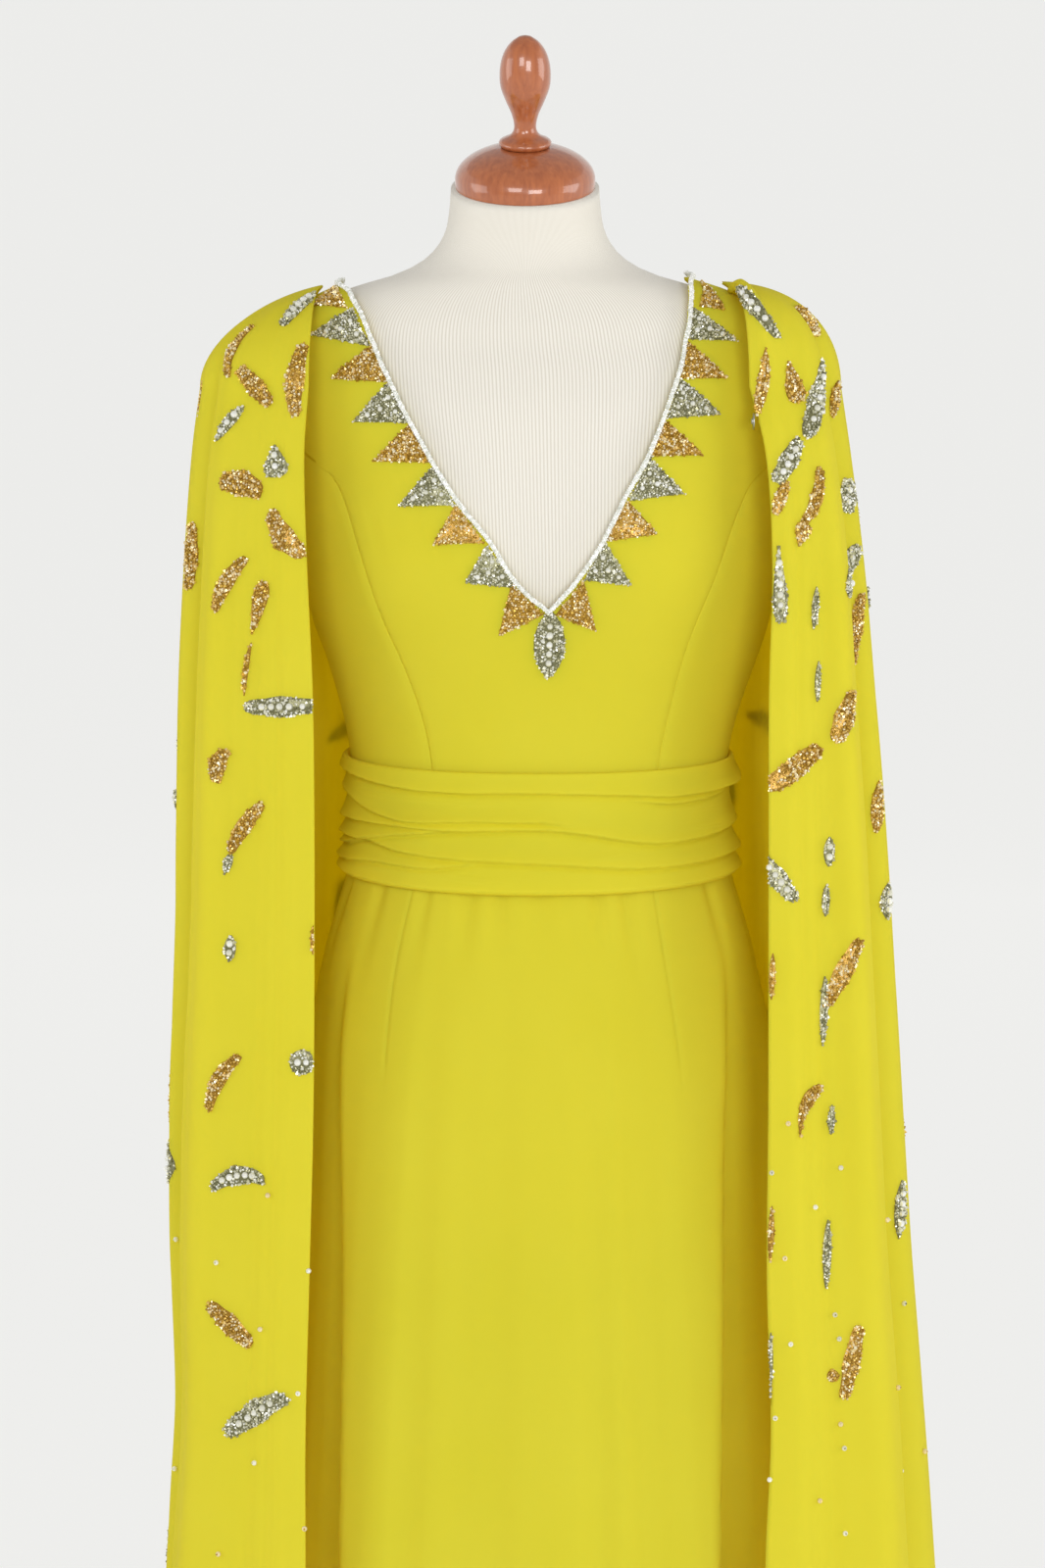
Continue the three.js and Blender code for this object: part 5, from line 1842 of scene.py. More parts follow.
@dataclass
class Cummerbund:
    """A wide soft band pleated round the waist; its edges dip to the front."""

    wardrobe: Wardrobe
    front_top: float = 1.138
    back_top: float = 1.152
    front_bottom: float = 1.047
    back_bottom: float = 1.066
    inside: float = FORM_CLEARANCE + CLOTH + 0.0013
    flare: float = 0.06
    thin: float = 0.0014
    creases: int = 26
    crease: float = 0.0006
    columns: int = 260
    rows: int = 88
    pleats: tuple[Pleat, ...] = (
        Pleat(((-180, -0.03), (-90, -0.03), (0, -0.03), (90, -0.03), (180, -0.03)), 0.0034, 0.3),
        Pleat(((-130, 0.06), (-80, 0.09), (-53, 0.16), (-33, 0.16), (-12, 0.25)), 0.0022, 0.14),
        Pleat(((-150, 0.12), (-90, 0.3), (-60, 0.33), (-44, 0.28), (-21, 0.25), (0, 0.23),
               (26, 0.17), (43, 0.16), (90, 0.17), (140, 0.2)), 0.0036, 0.24),
        Pleat(((-100, 0.2), (-80, 0.23), (-60, 0.35), (-32, 0.47), (-18, 0.5)), 0.0026, 0.14),
        Pleat(((-125, 0.42), (-53, 0.5), (-21, 0.5), (-2, 0.52), (9, 0.49), (31, 0.38),
               (50, 0.37), (90, 0.43), (130, 0.5)), 0.0034, 0.22),
        Pleat(((-110, 0.74), (-80, 0.71), (-44, 0.56), (-21, 0.585), (0, 0.59), (11, 0.53)),
              0.0028, 0.16),
        Pleat(((24, 0.76), (43, 0.7), (70, 0.74), (90, 0.84), (115, 0.86)), 0.0024, 0.14),
        Pleat(((-180, 0.86), (-130, 0.93), (-80, 0.9), (-38, 0.83), (0, 0.835), (21, 0.81),
               (43, 0.77), (90, 0.8), (140, 0.88), (180, 0.86)), 0.0034, 0.2),
        Pleat(((100, 0.3), (140, 0.36), (180, 0.33), (220, 0.3)), 0.003, 0.2),
        Pleat(((-220, 0.3), (-180, 0.33), (-140, 0.29), (-112, 0.3)), 0.003, 0.2),
        Pleat(((120, 0.62), (150, 0.66), (180, 0.6), (200, 0.6)), 0.0032, 0.2),
        Pleat(((-200, 0.6), (-180, 0.6), (-150, 0.57), (-120, 0.64)), 0.0032, 0.2),
    )

    def make(self) -> None:
        """Makes the band: the form's surface moved out by the sum of the pleats."""
        degrees, share = np.meshgrid(
            np.linspace(-179.9, 179.9, self.columns + 1), np.linspace(0, 1, self.rows + 1)
        )
        angle = np.radians(degrees)
        dip = (1 + np.cos(angle)) / 2
        low = mix(self.back_bottom, self.front_bottom, dip)
        high = mix(self.back_top, self.front_top, dip)
        z = mix(low, high, share)
        base, normal = torso_point(angle, z), torso_normal(angle, z)
        inside = self.inside + np.maximum(0, WAIST_Z - z) * self.flare
        lift = self.thin + sum(pleat.lift(degrees, share) for pleat in self.pleats)
        rng = np.random.default_rng(5)
        for _ in range(self.creases):
            centre, height = rng.uniform(-180, 180), rng.uniform(0.05, 0.95)
            slope, span = rng.uniform(-0.0022, 0.0022), rng.uniform(14, 45)
            line = height + slope * (degrees - centre)
            ridge = np.exp(-(((share - line) / rng.uniform(0.018, 0.04)) ** 2))
            lift = lift + self.crease * ridge * lobe((degrees - centre) / span)
        outer = base + normal * (inside + np.maximum(lift, self.thin * 0.6))[..., None]
        inner = base + normal * inside[..., None]
        piece = new_piece("pleated_cummerbund", *wall((outer, inner)))
        dress_piece(piece, self.wardrobe.crepe, "crepe", "cummerbund")


# ---- Skirt ----
@dataclass
class Skirt:
    """Long skirt: a front panel with two darts and two backs, falling in soft folds."""

    wardrobe: Wardrobe
    rows: int = 128
    front_columns: int = 150
    back_columns: int = 84
    dart_depth: float = 0.0008
    dart_left: Rows = Rows("z angle", (0.86, -36.2), (0.897, -36.5), (1.0, -38.7), (1.058, -37.7))
    dart_right: Rows = Rows(
        "z angle",
        (0.86, 33.4), (0.885, 33.3), (0.94, 32.8), (1.01, 32.9), (1.058, 33.2),
    )
    dart_end: float = 0.895
    dart_width: float = 0.15  # in degrees round the body, as the columns beside it
    dart_side: float = 0.35
    band_low: float = 1.06
    seam_turn: float = 0.06
    # The front hangs nearly straight down between two soft corners, past which the cloth falls
    # back to the side: the corner's angle at each height, and how deep the cloth falls.
    corner_left: Rows = Rows(
        "z angle depth",
        (0.028, -31.7, 0.038), (0.3, -35.2, 0.034), (0.6, -41.8, 0.026), (0.9, -52, 0.01),
        (1.0, -56, 0),
    )
    corner_right: Rows = Rows(
        "z angle depth",
        (0.028, 27.2, 0.042), (0.3, 30.6, 0.038), (0.6, 35.9, 0.032), (0.9, 46.5, 0.012),
        (1.0, 54, 0),
    )
    corner_reach: float = 5.5
    corner_end: float = 62
    # Finer folds of the front than the solid has: as its folds.
    ripples: Rows = Rows(
        "angle width start depth",
        (-25, 5, 1.04, -0.006), (-18, 4.5, 1.03, 0.003), (-7, 5, 1.05, -0.005),
        (10, 5, 1.04, -0.006), (15, 4.5, 1.04, 0.004), (26, 5, 1.0, -0.005),
    )
    gathering: float = 1.7
    # Small gathers under the band: degrees, width, depth at the band and the height where they end.
    gathers: Rows = Rows(
        "angle width depth end",
        (-52, 5, 0.0016, 0.95), (-33, 4, 0.002, 0.96), (-19, 5, 0.0026, 0.955),
        (-10, 4, 0.0022, 0.975), (0, 4.5, 0.0018, 0.98), (15, 4, 0.0026, 0.965),
        (24, 4.5, 0.0024, 0.95), (58, 5, 0.0018, 0.96), (84, 6, 0.002, 0.95),
        (108, 5, 0.0024, 0.94), (128, 6, 0.002, 0.96), (151, 5, 0.0026, 0.95),
        (170, 6, 0.0024, 0.93), (-167, 5, 0.0022, 0.95), (-145, 6, 0.0026, 0.94),
        (-122, 5, 0.002, 0.96), (-99, 6, 0.0024, 0.95), (-76, 5, 0.002, 0.96),
    )

    @staticmethod
    def away(angle: Array, degrees: Array) -> Array:
        """The shortest turn from a fold to an angle, in degrees."""
        turn = angle - np.radians(degrees)
        return np.degrees(np.arctan2(np.sin(turn), np.cos(turn)))

    def point(self, angle: Array, z: Array) -> Array:
        """The skirt's inside: its sections moved outward by the folds.

        A fold is a lobe of the angle that grows with a power of the drop below its start. A corner
        is an ease back past its line, which recovers towards the side.

        Args:
            angle: Where round the body.
            z: Heights, in the same shape.

        Returns:
            The points.
        """
        point = section_point(SKIRT, angle, z)
        outward = point * [1, 1, 0] - [SKIRT.values[0, 1], 0, 0]
        depth = np.zeros(z.shape)
        for degrees, width, start, full in (*SKIRT_FOLDS.values, *self.ripples.values):
            fall = np.clip((start - z) / (start - SKIRT_HEM_Z), 0, 1)
            depth = depth + full * fall**0.7 * lobe(self.away(angle, degrees) / width)
        for rows, side in ((self.corner_left, -1), (self.corner_right, 1)):
            past = side * self.away(angle, rows.at("angle", "z", z))
            back = ease(past / self.corner_reach) * ease((self.corner_end - past) / 45)
            depth -= rows.at("depth", "z", z) * back
        for degrees, width, full, end in self.gathers.values:
            fall = ease((z - end) / (self.band_low - end))
            depth -= full * self.gathering * fall * lobe(self.away(angle, degrees) / width)
        return point + unit(outward) * depth[..., None]

    def front_angles(self, z: Array) -> Array:
        """Spaces the front's columns, of which three follow each dart.

        Args:
            z: Heights.

        Returns:
            The columns' angles at each height.
        """
        narrow = radians(self.dart_side)
        darts = self.dart_left, self.dart_right
        left, right = (np.radians(dart.at("angle", "z", z))[:, None] for dart in darts)
        side = np.linspace(0, 1, self.front_columns // 4)[None]
        middle = np.linspace(0, 1, self.front_columns - 2 * side.size)[None]
        parts = [
            mix(-pi / 2, left - narrow, side),
            left,
            mix(left + narrow, right - narrow, middle),
            right,
            mix(right + narrow, pi / 2, side),
        ]
        return np.concatenate(parts, axis=1)

    def panel(
        self, name: str, angle: Array, z: Array, node_name: str, flat: tuple, area: float
    ) -> None:
        """Makes one panel.

        Args:
            name: The piece's name.
            angle: The angles of its grid.
            z: The grid's heights.
            node_name: The solid that it stands for.
            flat: The size of its cut; not used.
            area: The cut's area; not used.
        """
        base = self.point(angle, z)
        normal = -grid_normals(base)
        sunk = np.zeros(z.shape)
        for rows in (self.dart_left, self.dart_right):
            off = self.away(angle, rows.at("angle", "z", z))
            dart = (np.abs(off) < self.dart_width) * ease((z - self.dart_end) / 0.03)
            sunk += self.dart_depth * dart
        outer = base + normal * (CLOTH - sunk)[..., None]
        piece = new_piece(name, *wall((outer, base - normal * sunk[..., None])))
        dress_piece(piece, self.wardrobe.crepe, "crepe", node_name)

    def make(self) -> None:
        """Makes the three panels."""
        t = np.linspace(0, 1, self.rows + 1)
        heights = mix(WAIST_Z, SKIRT_HEM_Z, t)
        angle = self.front_angles(heights)
        z = np.broadcast_to(heights[:, None], angle.shape)
        self.panel("skirt_front_panel", angle, z, "skirt_front", (0.95, 1.1), 0.69)
        seam = radians(self.seam_turn)
        for side, name in ((-1, "left"), (1, "right")):
            across = side * np.linspace(pi / 2 + seam, pi - seam, self.back_columns + 1)
            grid = np.meshgrid(across[::side], heights)
            self.panel(f"skirt_back_panel_{name}", *grid, f"skirt_back_{name}", (0.5, 1.1), 0.35)


# ---- Cape ----
@dataclass
class CapeHalf:
    """One half of the long cape: it hangs from the shoulder, open in front, seamed at the back.

    u runs from the front edge to the centre back. v runs over the shoulder to 1, where the cloth
    hangs free, and on to 2 at the hem.
    """

    wardrobe: Wardrobe
    name: str
    side: int
    rows: Rows
    neck: Rows
    folds: Rows
    slope: float = 0.25
    roundness: float = 1.0
    roll_height: float = 0.0
    roll_at: float = 0.035
    roll_width: float = 0.05
    side_share: float = 0.42
    back_slope: float = 0.15
    on_bodice: float = FORM_CLEARANCE + CLOTH + 0.003
    columns: int = 210
    shoulder_rows: int = 34
    hang_rows: int = 150
    steep: float = 0.6
    gentle: float = 1.25
    depth_share: float = 1.3
    # Finer folds than the solid has: as its folds.
    ripples: Rows = Rows(
        "top hem width full depth",
        (0.06, 0.07, 0.05, 1.2, -0.004), (0.36, 0.42, 0.05, 1.15, -0.009),
        (0.55, 0.57, 0.045, 1.2, -0.007), (0.67, 0.68, 0.045, 1.1, -0.007),
        (0.79, 0.81, 0.045, 1.2, -0.008), (0.92, 0.93, 0.04, 1.1, -0.006),
    )

    def hang(self, u: Array, z: Array) -> Array:
        """The hanging cloth: two joined quarter curves, as powers of the sine and cosine.

        Args:
            u: Shares from the front edge to the centre back.
            z: Heights.

        Returns:
            The points.
        """
        bend = 2 / SECTION_POWER
        middle = TORSO.at("cx", "z", np.clip(z, WAIST_Z, BACK_NECK_Z))
        front = u < self.side_share
        behind = (u - self.side_share) / (1 - self.side_share)
        turn = np.where(front, u / self.side_share, behind) * pi / 2
        s, c = signed_power(np.sin(turn), bend), signed_power(np.cos(turn), bend)
        front_x, front_y, side_x, side_y, back_y = (
            self.rows.at(name, "z", z) for name in ("frontX", "frontY", "sideX", "sideY", "backY")
        )
        x = np.where(front, mix(front_x, side_x, s), mix(middle, side_x, c))
        y = np.where(front, mix(side_y, front_y, c), mix(side_y, back_y, s))
        return points_of(x, y, z)

    def rest(self, u: Array, v: Array) -> Array:
        """The cape without folds: over the shoulder, a rounded line to the hanging cloth.

        Args:
            u: Shares from the front edge to the centre back.
            v: How far down, as the class says.

        Returns:
            The points.
        """
        hanging = self.hang(u, mix(CAPE_HANG_Z, CAPE_HEM_Z, np.maximum(v - 1, 0)))
        angle = self.side * np.radians(self.neck.at("angle", "u", u))
        z = self.neck.at("z", "u", u)
        neck = torso_point(angle, z) + torso_normal(angle, z) * self.on_bodice
        seat = self.hang(u, np.full(u.shape, CAPE_HANG_Z))
        behind = np.clip((u - self.side_share) / (1 - self.side_share), 0, 1)
        turn = np.minimum(v, 1) * pi / 2
        out = np.sin(turn)
        fall = (1 - np.cos(turn)) ** mix(self.roundness, 1, behind)
        down = mix(fall, out, mix(self.slope, self.back_slope, behind))
        shares = np.stack([out, out, down], axis=-1)
        return np.where((v >= 1)[..., None], hanging, mix(neck, seat, shares))

    def depth(self, u: Array, v: Array, z: Array) -> Array:
        """How far the folds move the cloth: lobes of u that grow towards their full height.

        A trough is steep towards the front edge and gentle towards the back.

        Args:
            u: Shares from the front edge to the centre back.
            v: How far down.
            z: Heights.

        Returns:
            Distances.
        """
        start = np.minimum(v, 1) * 0.3
        depth = np.zeros(u.shape)
        for top, hem, width, full, deep in (*self.folds.values, *self.ripples.values):
            grown = (CAPE_HANG_Z - z) / (CAPE_HANG_Z - full)
            away = u - mix(top, hem, np.clip(v - 1, 0, 1))
            reach = width * (np.where(away < 0, self.steep, self.gentle) if deep < 0 else 1)
            deep *= self.depth_share
            depth += deep * mix(start, 1, ease(grown)) * ease(v * 1.6) * lobe(away / reach)
        fade = ease(1.15 - v) * np.clip(v * 4 + 0.35, 0, 1)
        return depth + self.roll_height * fade * lobe((u - self.roll_at) / self.roll_width)

    def make(self) -> ClothFace:
        """Makes the half.

        Returns:
            Its outer face.
        """
        shoulder = np.arange(self.shoulder_rows) / self.shoulder_rows
        hanging = 1 + np.arange(self.hang_rows + 1) / self.hang_rows
        u, v = np.meshgrid(np.linspace(0, 1, self.columns + 1), np.r_[shoulder, hanging])
        rest = self.rest(u, v)
        folded = rest + grid_normals(rest, -self.side) * self.depth(u, v, rest[..., 2])[..., None]
        normal = grid_normals(folded, -self.side)
        outer, inner = folded + normal * CLOTH, folded.copy()
        for grid in (outer, inner):
            grid[:, -1, 0] = folded[:, -1, 0] + self.side * SEAM_GAP / 2
        piece = new_piece(f"cape_half_{self.name}", *wall((outer, inner)))
        dress_piece(piece, self.wardrobe.crepe, "crepe", f"cape_{self.name}")
        return ClothFace(outer, normal)


# ---- Beadwork of the cape ----
# Motifs of each half that are seen from the front: colour, outline, middle as pixels of the
# camera's frame, length and width in those pixels, turn in degrees from level, and any bend.
LEFT_MOTIFS = (
    (S, BEAN, 305, 313, 53, 15, 50), (G, BEAN, 240, 355, 60, 11, 64, 0.14),
    (G, BEAN, 261, 393, 52, 20, 132), (G, BEAN, 304, 388, 78, 20, 84, 0.06),
    (S, LEAF, 232, 434, 48, 12, 50), (G, LEAF, 207, 410, 40, 14, 82),
    (S, DROP, 282, 472, 34, 29, -86), (G, BEAN, 247, 499, 46, 28, -14, 0.08),
    (G, BEAN, 292, 545, 60, 25, 128, 0.1), (S, LEAF, 214, 552, 46, 8, 84),
    (G, BEAN, 195, 568, 72, 16, 86), (G, BEAN, 233, 592, 68, 17, 58, 0.08),
    (G, DROP, 264, 622, 58, 20, 76), (G, LEAF, 253, 679, 58, 6, 82, 0.04),
    (S, LEAF, 212, 673, 46, 9, 86), (S, BEAN, 287, 717, 62, 22, 4),
    (S, BEAN, 197, 757, 77, 19, 88), (G, BEAN, 223, 785, 37, 20, 72, 0.12),
    (G, BEAN, 250, 845, 65, 17, 56, 0.05), (S, LEAF, 231, 886, 24, 10, 72),
    (S, LEAF, 235, 970, 28, 13, 86), (G, LEAF, 318, 959, 32, 7, 88),
    (S, LEAF, 185, 1031, 74, 15, 88), (S, ROUND, 309, 1084, 26, 26, 0),
    (G, BEAN, 225, 1103, 70, 16, 60, 0.1), (S, BEAN, 243, 1210, 62, 20, 12, 0.14),
    (G, BEAN, 236, 1347, 62, 22, 140), (S, BEAN, 260, 1446, 72, 23, 44, 0.03),
)
RIGHT_MOTIFS = (
    (S, BEAN, 766, 310, 62, 16, 126), (G, BEAN, 824, 328, 36, 19, 118),
    (G, LEAF, 776, 399, 78, 13, 80, -0.05), (G, DROP, 809, 387, 45, 25, -78),
    (S, BEAN, 835, 408, 80, 19, 80), (G, LEAF, 852, 402, 40, 13, 78),
    (S, BEAN, 804, 470, 50, 20, 62), (G, BEAN, 796, 508, 38, 14, 70),
    (G, BEAN, 829, 506, 65, 14, 72, -0.12), (G, DROP, 818, 548, 26, 20, 75),
    (S, BEAN, 865, 509, 36, 22, 86), (S, DROP, 796, 600, 80, 18, -88),
    (S, BEAN, 857, 582, 60, 24, 52), (S, LEAF, 831, 617, 46, 8, 86),
    (G, BEAN, 875, 645, 78, 18, 80, 0.05), (S, LEAF, 834, 698, 44, 7, 88),
    (G, BEAN, 862, 733, 56, 23, 70), (G, BEAN, 812, 788, 56, 23, 46),
    (G, LEAF, 896, 825, 57, 15, 86), (S, LEAF, 846, 875, 32, 12, 88),
    (S, BEAN, 794, 897, 58, 20, 128), (S, LEAF, 843, 914, 34, 9, 88),
    (S, LEAF, 905, 917, 38, 14, 88), (G, BEAN, 860, 996, 80, 20, 62),
    (G, LEAF, 786, 1000, 50, 7, 88), (S, LEAF, 841, 1026, 74, 9, 88),
    (S, LEAF, 911, 1044, 40, 14, 88), (G, DROP, 825, 1138, 60, 18, 64, 0.16),
    (S, LEAF, 848, 1148, 32, 8, 88), (S, LEAF, 919, 1232, 62, 14, 86),
    (G, LEAF, 785, 1255, 60, 7, 88), (S, LEAF, 844, 1285, 74, 10, 88),
    (G, BEAN, 868, 1385, 78, 19, 78), (S, LEAF, 786, 1395, 78, 7, 88),
    (G, ROUND, 850, 1400, 13, 13, 0),
)
# Single stones: their colour and place in the frame.
LEFT_STONES = (
    (G, 273, 1222), (S, 180, 1264), (S, 222, 1289), (S, 314, 1294), (G, 266, 1354),
    (S, 201, 1386), (S, 304, 1427), (S, 261, 1492), (S, 180, 1497), (G, 310, 1564),
    (G, 223, 1583),
)
RIGHT_STONES = (
    (G, 805, 1144), (S, 858, 1190), (S, 786, 1195), (S, 831, 1227), (G, 907, 1243),
    (G, 801, 1280), (S, 922, 1329), (S, 853, 1346), (S, 855, 1360), (S, 807, 1374),
    (G, 915, 1417), (S, 789, 1446), (G, 857, 1454), (S, 862, 1475), (G, 941, 1481),
    (S, 918, 1498), (S, 786, 1514), (G, 837, 1534), (S, 941, 1550), (S, 862, 1565),
    (G, 903, 1566),
)


@dataclass
class CapeBeadwork:
    """The beadwork of one half of the cape: motifs above, single stones towards the hem.

    What faces the camera has its place in the tables. The side and the back get the same kinds of
    motif at seeded places, as close together, and fewer of them towards the hem.
    """

    wardrobe: Wardrobe
    camera: StudioCamera
    name: str
    face: ClothFace
    motifs: tuple
    stones: tuple
    seed: int
    pixel: float = 0.00075
    stone_radius: float = 0.0021
    stone_bead: float = 0.001
    stone_pitch: float = 0.0095
    stone_room: float = 0.009
    hidden_turn: float = -0.3
    hidden_lengths: tuple = (0.034, 0.058)
    hidden_bend: float = 0.12
    hidden_motifs: int = 64
    hidden_stones: int = 40
    apart: float = 0.062
    tries: int = 4000

    def heading(self, degrees: float) -> Array:
        """A direction in the front plane, from its turn above level."""
        turn = radians(degrees)
        return np.array([np.cos(turn), 0.0, np.sin(turn)])

    def slant(self, seat: tuple[int, int], heading: Array) -> tuple[Array, float]:
        """Works out how a motif lies that is seen along a heading of the front plane.

        Args:
            seat: Its place on the cloth.
            heading: A unit direction in the front plane.

        Returns:
            The heading with the depth that keeps it in the cloth, and the share of the motif's
            width that is seen. Both are held to what a motif near the outline can have.
        """
        normal = self.face.normals[seat]
        depth = np.clip(-(heading @ normal) / min(normal[1], -0.2), -0.8, 0.8)
        along = heading + np.array([0.0, depth, 0.0])
        across = unit(np.cross(normal, along))
        return along, max(float(np.hypot(across[0], across[2])), 0.6)

    def seen(self, bags: dict[Finishing, BeadBag]) -> list[Array]:
        """Sews what the tables give.

        Args:
            bags: Take the beads, by colour.

        Returns:
            Where they are sewn on.
        """
        places = []
        for colour, kind, x, y, length, width, turn, *bend in self.motifs:
            seat = self.face.seat_at(self.camera, (x, y))
            along, narrowed = self.slant(seat, self.heading(turn))
            long = length * self.pixel * float(np.linalg.norm(along))
            motif = self.motif(colour, kind, long, width * self.pixel / narrowed, *bend)
            motif.sew(bags[colour], self.face, seat, unit(along))
            places.append(self.face.points[seat])
        for colour, x, y in self.stones:
            seat = self.face.seat_at(self.camera, (x, y))
            self.stone(bags[colour], seat)
            places.append(self.face.points[seat])
        return places

    def motif(
        self, colour: Finishing, kind: Motif, length: float, width: float, bend: float = 0.0
    ) -> BeadedMotif:
        """A motif, with up to five round stones if it is silver and wide enough."""
        room = colour is S and width > self.stone_room
        return BeadedMotif(kind, length, width, bend, min(int(length / self.stone_pitch), 5) * room)

    def stone(self, bag: BeadBag, seat: tuple[int, int]) -> None:
        """Adds a round stone with a small bead on its top.

        Args:
            bag: Takes them.
            seat: Their grid place.
        """
        point, normal, radius = self.face.points[seat], self.face.normals[seat], self.stone_radius
        bag.cabochons.append(((point + normal * radius * 0.5)[None], np.array([radius])))
        bag.add((point + normal * radius * 1.5)[None], np.array([self.stone_bead]))

    def hidden(self, bags: dict[Finishing, BeadBag], taken: list[Array]) -> None:
        """Strews motifs, and stones towards the hem, over the cloth that the tables don't reach.

        Args:
            bags: Take the beads, by colour.
            taken: Where beadwork is already, which grows.
        """
        rng = np.random.default_rng(self.seed)
        rows, columns = self.face.points.shape[:2]
        kinds = (LEAF, LEAF, LEAF, BEAN, DROP, ROUND)
        left = {True: self.hidden_stones, False: self.hidden_motifs}
        for _ in range(self.tries):
            seat = int(rng.integers(4, rows - 6)), int(rng.integers(columns // 3, columns - 8))
            point = self.face.points[seat]
            toward = np.array(self.camera.position) - point
            height = (point[2] - CAPE_HEM_Z) / (CAPE_HANG_Z - CAPE_HEM_Z)
            small = bool(rng.uniform() > ease(height * 1.7 - 0.15))
            near = min(np.linalg.norm(point - other) for other in taken)
            turn, size = rng.uniform(20, 160), rng.uniform(*self.hidden_lengths)
            bend = rng.uniform(-self.hidden_bend, self.hidden_bend)
            colour, kind = (G, S)[int(rng.choice(2))], kinds[int(rng.choice(len(kinds)))]
            gap = self.apart * (0.8 if small else 1)
            turned_to = self.face.normals[seat] @ unit(toward)
            if turned_to > self.hidden_turn or near < gap or not left[small]:
                continue
            if small:
                self.stone(bags[colour], seat)
            else:
                long = size * (0.5 if kind is ROUND else 1)
                wide = long if kind is ROUND else size * rng.uniform(0.2, 0.36)
                bend *= kind is not ROUND
                motif = self.motif(colour, kind, long, wide, bend)
                motif.sew(bags[colour], self.face, seat, self.heading(turn))
            taken.append(point)
            left[small] -= 1

    def make(self) -> None:
        """Makes one piece for each bead colour."""
        bags = {
            colour: BeadBag(np.random.default_rng(self.seed + 1 + k))
            for k, colour in enumerate(Finishing)
        }
        self.hidden(bags, self.seen(bags))
        for colour, bag in bags.items():
            piece = bag.make(f"cape_{self.name}_{colour.value}_beadwork")
            dress_piece(piece, self.wardrobe.beads(colour), "beadwork")


# ---- Fastening ----
@dataclass
class PressStud:
    """The ball half of a press stud, sewn inside the cape's rolled edge with its ball to -X."""

    wardrobe: Wardrobe
    radius: float = 0.0065
    thickness: float = 0.0026

    def make(self) -> None:
        """Turns a disc with a rolled rim and a round knob, and lays it at its solid's place."""
        low, high = (np.array(corner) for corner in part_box("cape_snap"))
        r, t = self.radius, self.thickness
        profile = np.array(
            [
                (0.05, 0.0), (0.9, 0.0), (0.97, 0.08), (1.0, 0.25), (0.97, 0.42), (0.9, 0.5),
                (0.8, 0.47), (0.66, 0.36), (0.5, 0.34), (0.42, 0.4), (0.38, 0.55), (0.39, 0.75),
                (0.34, 0.9), (0.22, 0.97), (0.05, 1.0),
            ]
        )
        rings = turned(profile[:, 0] * r, profile[:, 1] * t, 48)
        laid = np.stack([high[0] - rings[..., 2], rings[..., 1], rings[..., 0]], axis=-1)
        laid[..., 1:] += (low[1:] + high[1:]) / 2
        piece = new_piece("press_stud_ball_half", *tube(laid))
        dress_piece(piece, self.wardrobe.nickel, "nickel", "cape_snap")


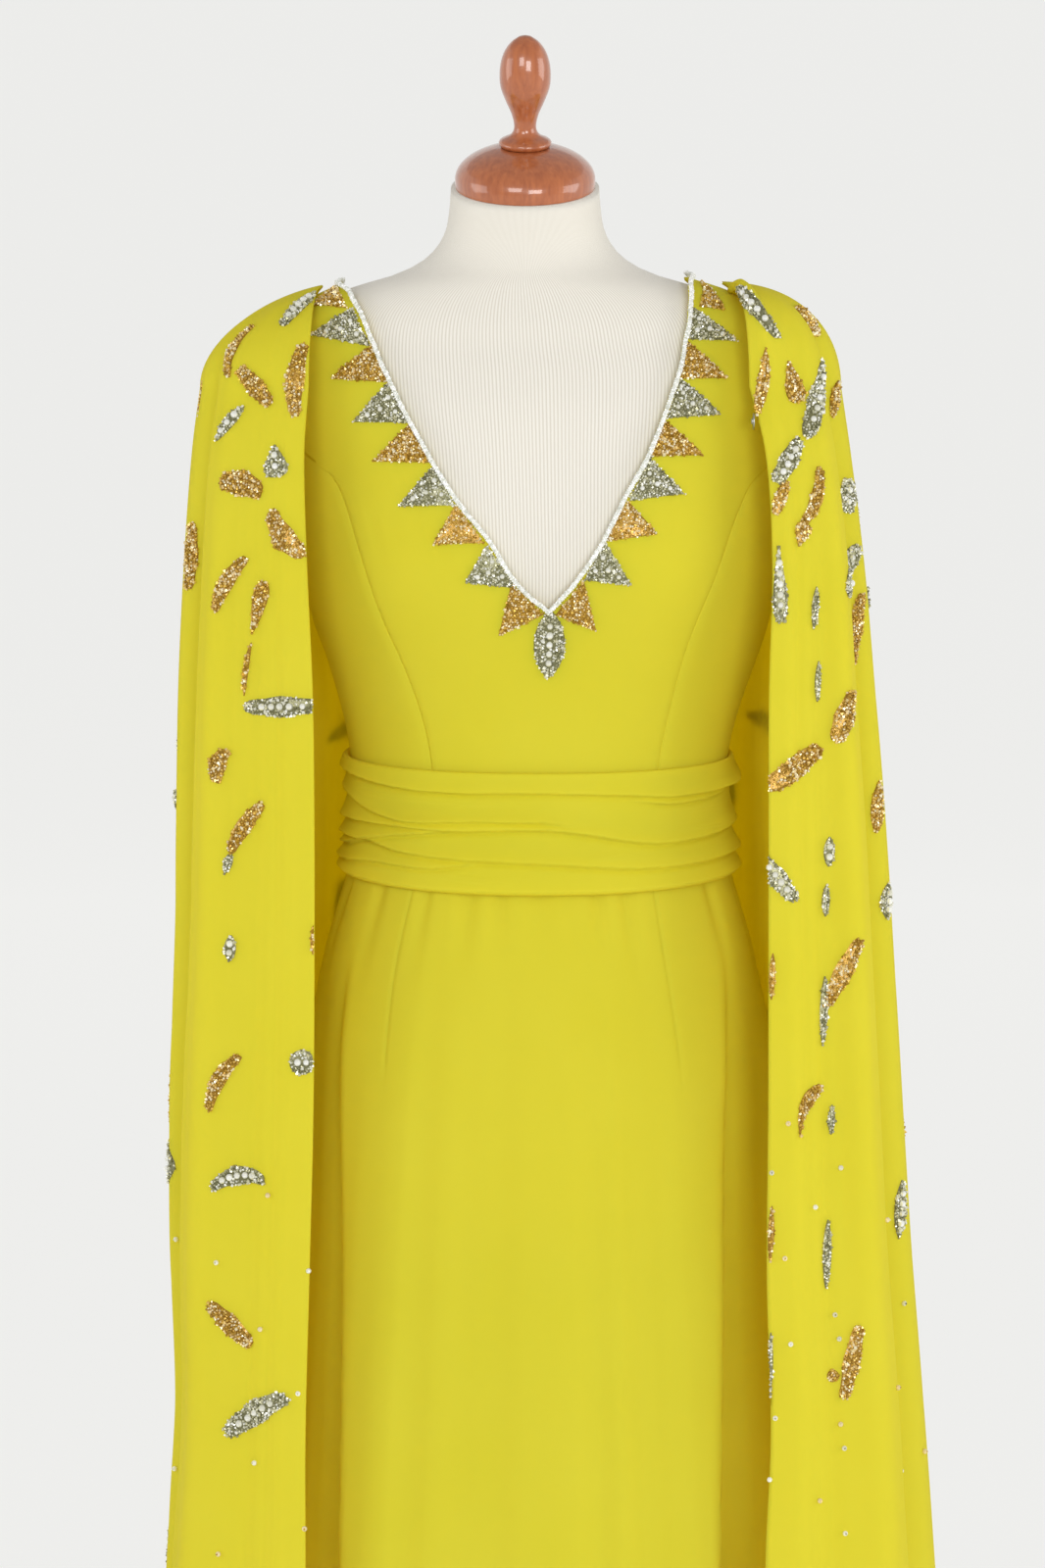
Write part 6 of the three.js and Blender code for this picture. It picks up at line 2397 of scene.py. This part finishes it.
# ---- Studio ----
@dataclass
class Studio:
    """A pale bowl of paper round the dress, an even sky and soft lamps."""

    sky: float = 0.42
    floor_radius: float = 8.0
    bend_radius: float = 4.0
    wall_top: float = 10.0
    around: int = 128
    aim: tuple = (0, 0, 0.9)
    # Lamps: name, place, side and power.
    lamps: tuple = (
        ("front_left", (-1.1, -3.9, 2.2), 1.5, 41),
        ("front_right", (1.1, -3.9, 1.5), 1.5, 53),
        ("side_left", (-4.2, -0.8, 1.7), 2.4, 35),
        ("side_right", (4.2, -0.8, 1.7), 2.4, 48),
    )

    def bowl(self) -> None:
        """Makes the backdrop: a floor that curves up into a round wall."""
        a = np.linspace(0, pi / 2, 24)
        radius = np.r_[0.01, 2, 4, 6, self.floor_radius + self.bend_radius * np.sin(a)]
        height = np.r_[0, 0, 0, 0, self.bend_radius * (1 - np.cos(a))]
        radius, height = np.r_[radius, radius[-1]], np.r_[height, self.wall_top]
        points = turned(radius, height, self.around).reshape(-1, 3)
        mesh = bpy.data.meshes.new("studio_bowl")
        faces = quads(len(radius), self.around, wrap=True)[:, ::-1]
        mesh.from_pydata(points.tolist(), [], faces.tolist())
        mesh.polygons.foreach_set("use_smooth", np.full(len(faces), True))
        mesh.materials.append(StudioPaper().make())
        made = bpy.data.objects.new("studio_bowl", mesh)
        bpy.context.scene.collection.objects.link(made)

    def lamp(self, name: str, place: tuple, size: float, power: float) -> None:
        """Makes a square soft lamp, turned to the lamps' aim.

        Args:
            name: Its name.
            place: Where it stands.
            size: Its sides, in metres.
            power: Its power, in watts.
        """
        data = bpy.data.lights.new(name, "AREA")
        data.size, data.energy = size, power
        made = bpy.data.objects.new(name, data)
        made.location = place
        made.rotation_euler = (Vector(self.aim) - Vector(place)).to_track_quat("-Z", "Y").to_euler()
        bpy.context.scene.collection.objects.link(made)

    def make(self) -> None:
        """Makes the bowl, the sky and the lamps."""
        self.bowl()
        world = bpy.data.worlds.new("studio_sky")
        world.use_nodes = True
        background = world.node_tree.nodes["Background"]
        background.inputs["Color"].default_value = (1.0, 1.0, 0.99, 1.0)
        background.inputs["Strength"].default_value = self.sky
        bpy.context.scene.world = world
        for lamp in self.lamps:
            self.lamp(*lamp)


# ---- The scene ----
def write_sizes() -> None:
    """Updates the view layer."""
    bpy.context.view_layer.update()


def main() -> None:
    """Builds the dress, its form, its beadwork and the studio."""
    logging.basicConfig(level=logging.INFO, format="%(name)s: %(message)s")
    bpy.context.scene.view_settings.view_transform = "Standard"
    camera = StudioCamera()
    camera.make()
    Studio().make()
    wardrobe = Wardrobe()
    DressForm(wardrobe).make()
    Bodice(wardrobe).make()
    Neckline(wardrobe, camera).make()
    Cummerbund(wardrobe).make()
    Skirt(wardrobe).make()
    left = CapeHalf(wardrobe, "left", -1, LEFT_ROWS, LEFT_NECK, LEFT_FOLDS).make()
    right_cut = RIGHT_ROWS, RIGHT_NECK, RIGHT_FOLDS
    right = CapeHalf(wardrobe, "right", 1, *right_cut, 0.05, 1.2, roll_height=0.009).make()
    CapeBeadwork(wardrobe, camera, "left", left, LEFT_MOTIFS, LEFT_STONES, 31).make()
    CapeBeadwork(wardrobe, camera, "right", right, RIGHT_MOTIFS, RIGHT_STONES, 41).make()
    PressStud(wardrobe).make()
    write_sizes()


if __name__ == "__main__":
    main()
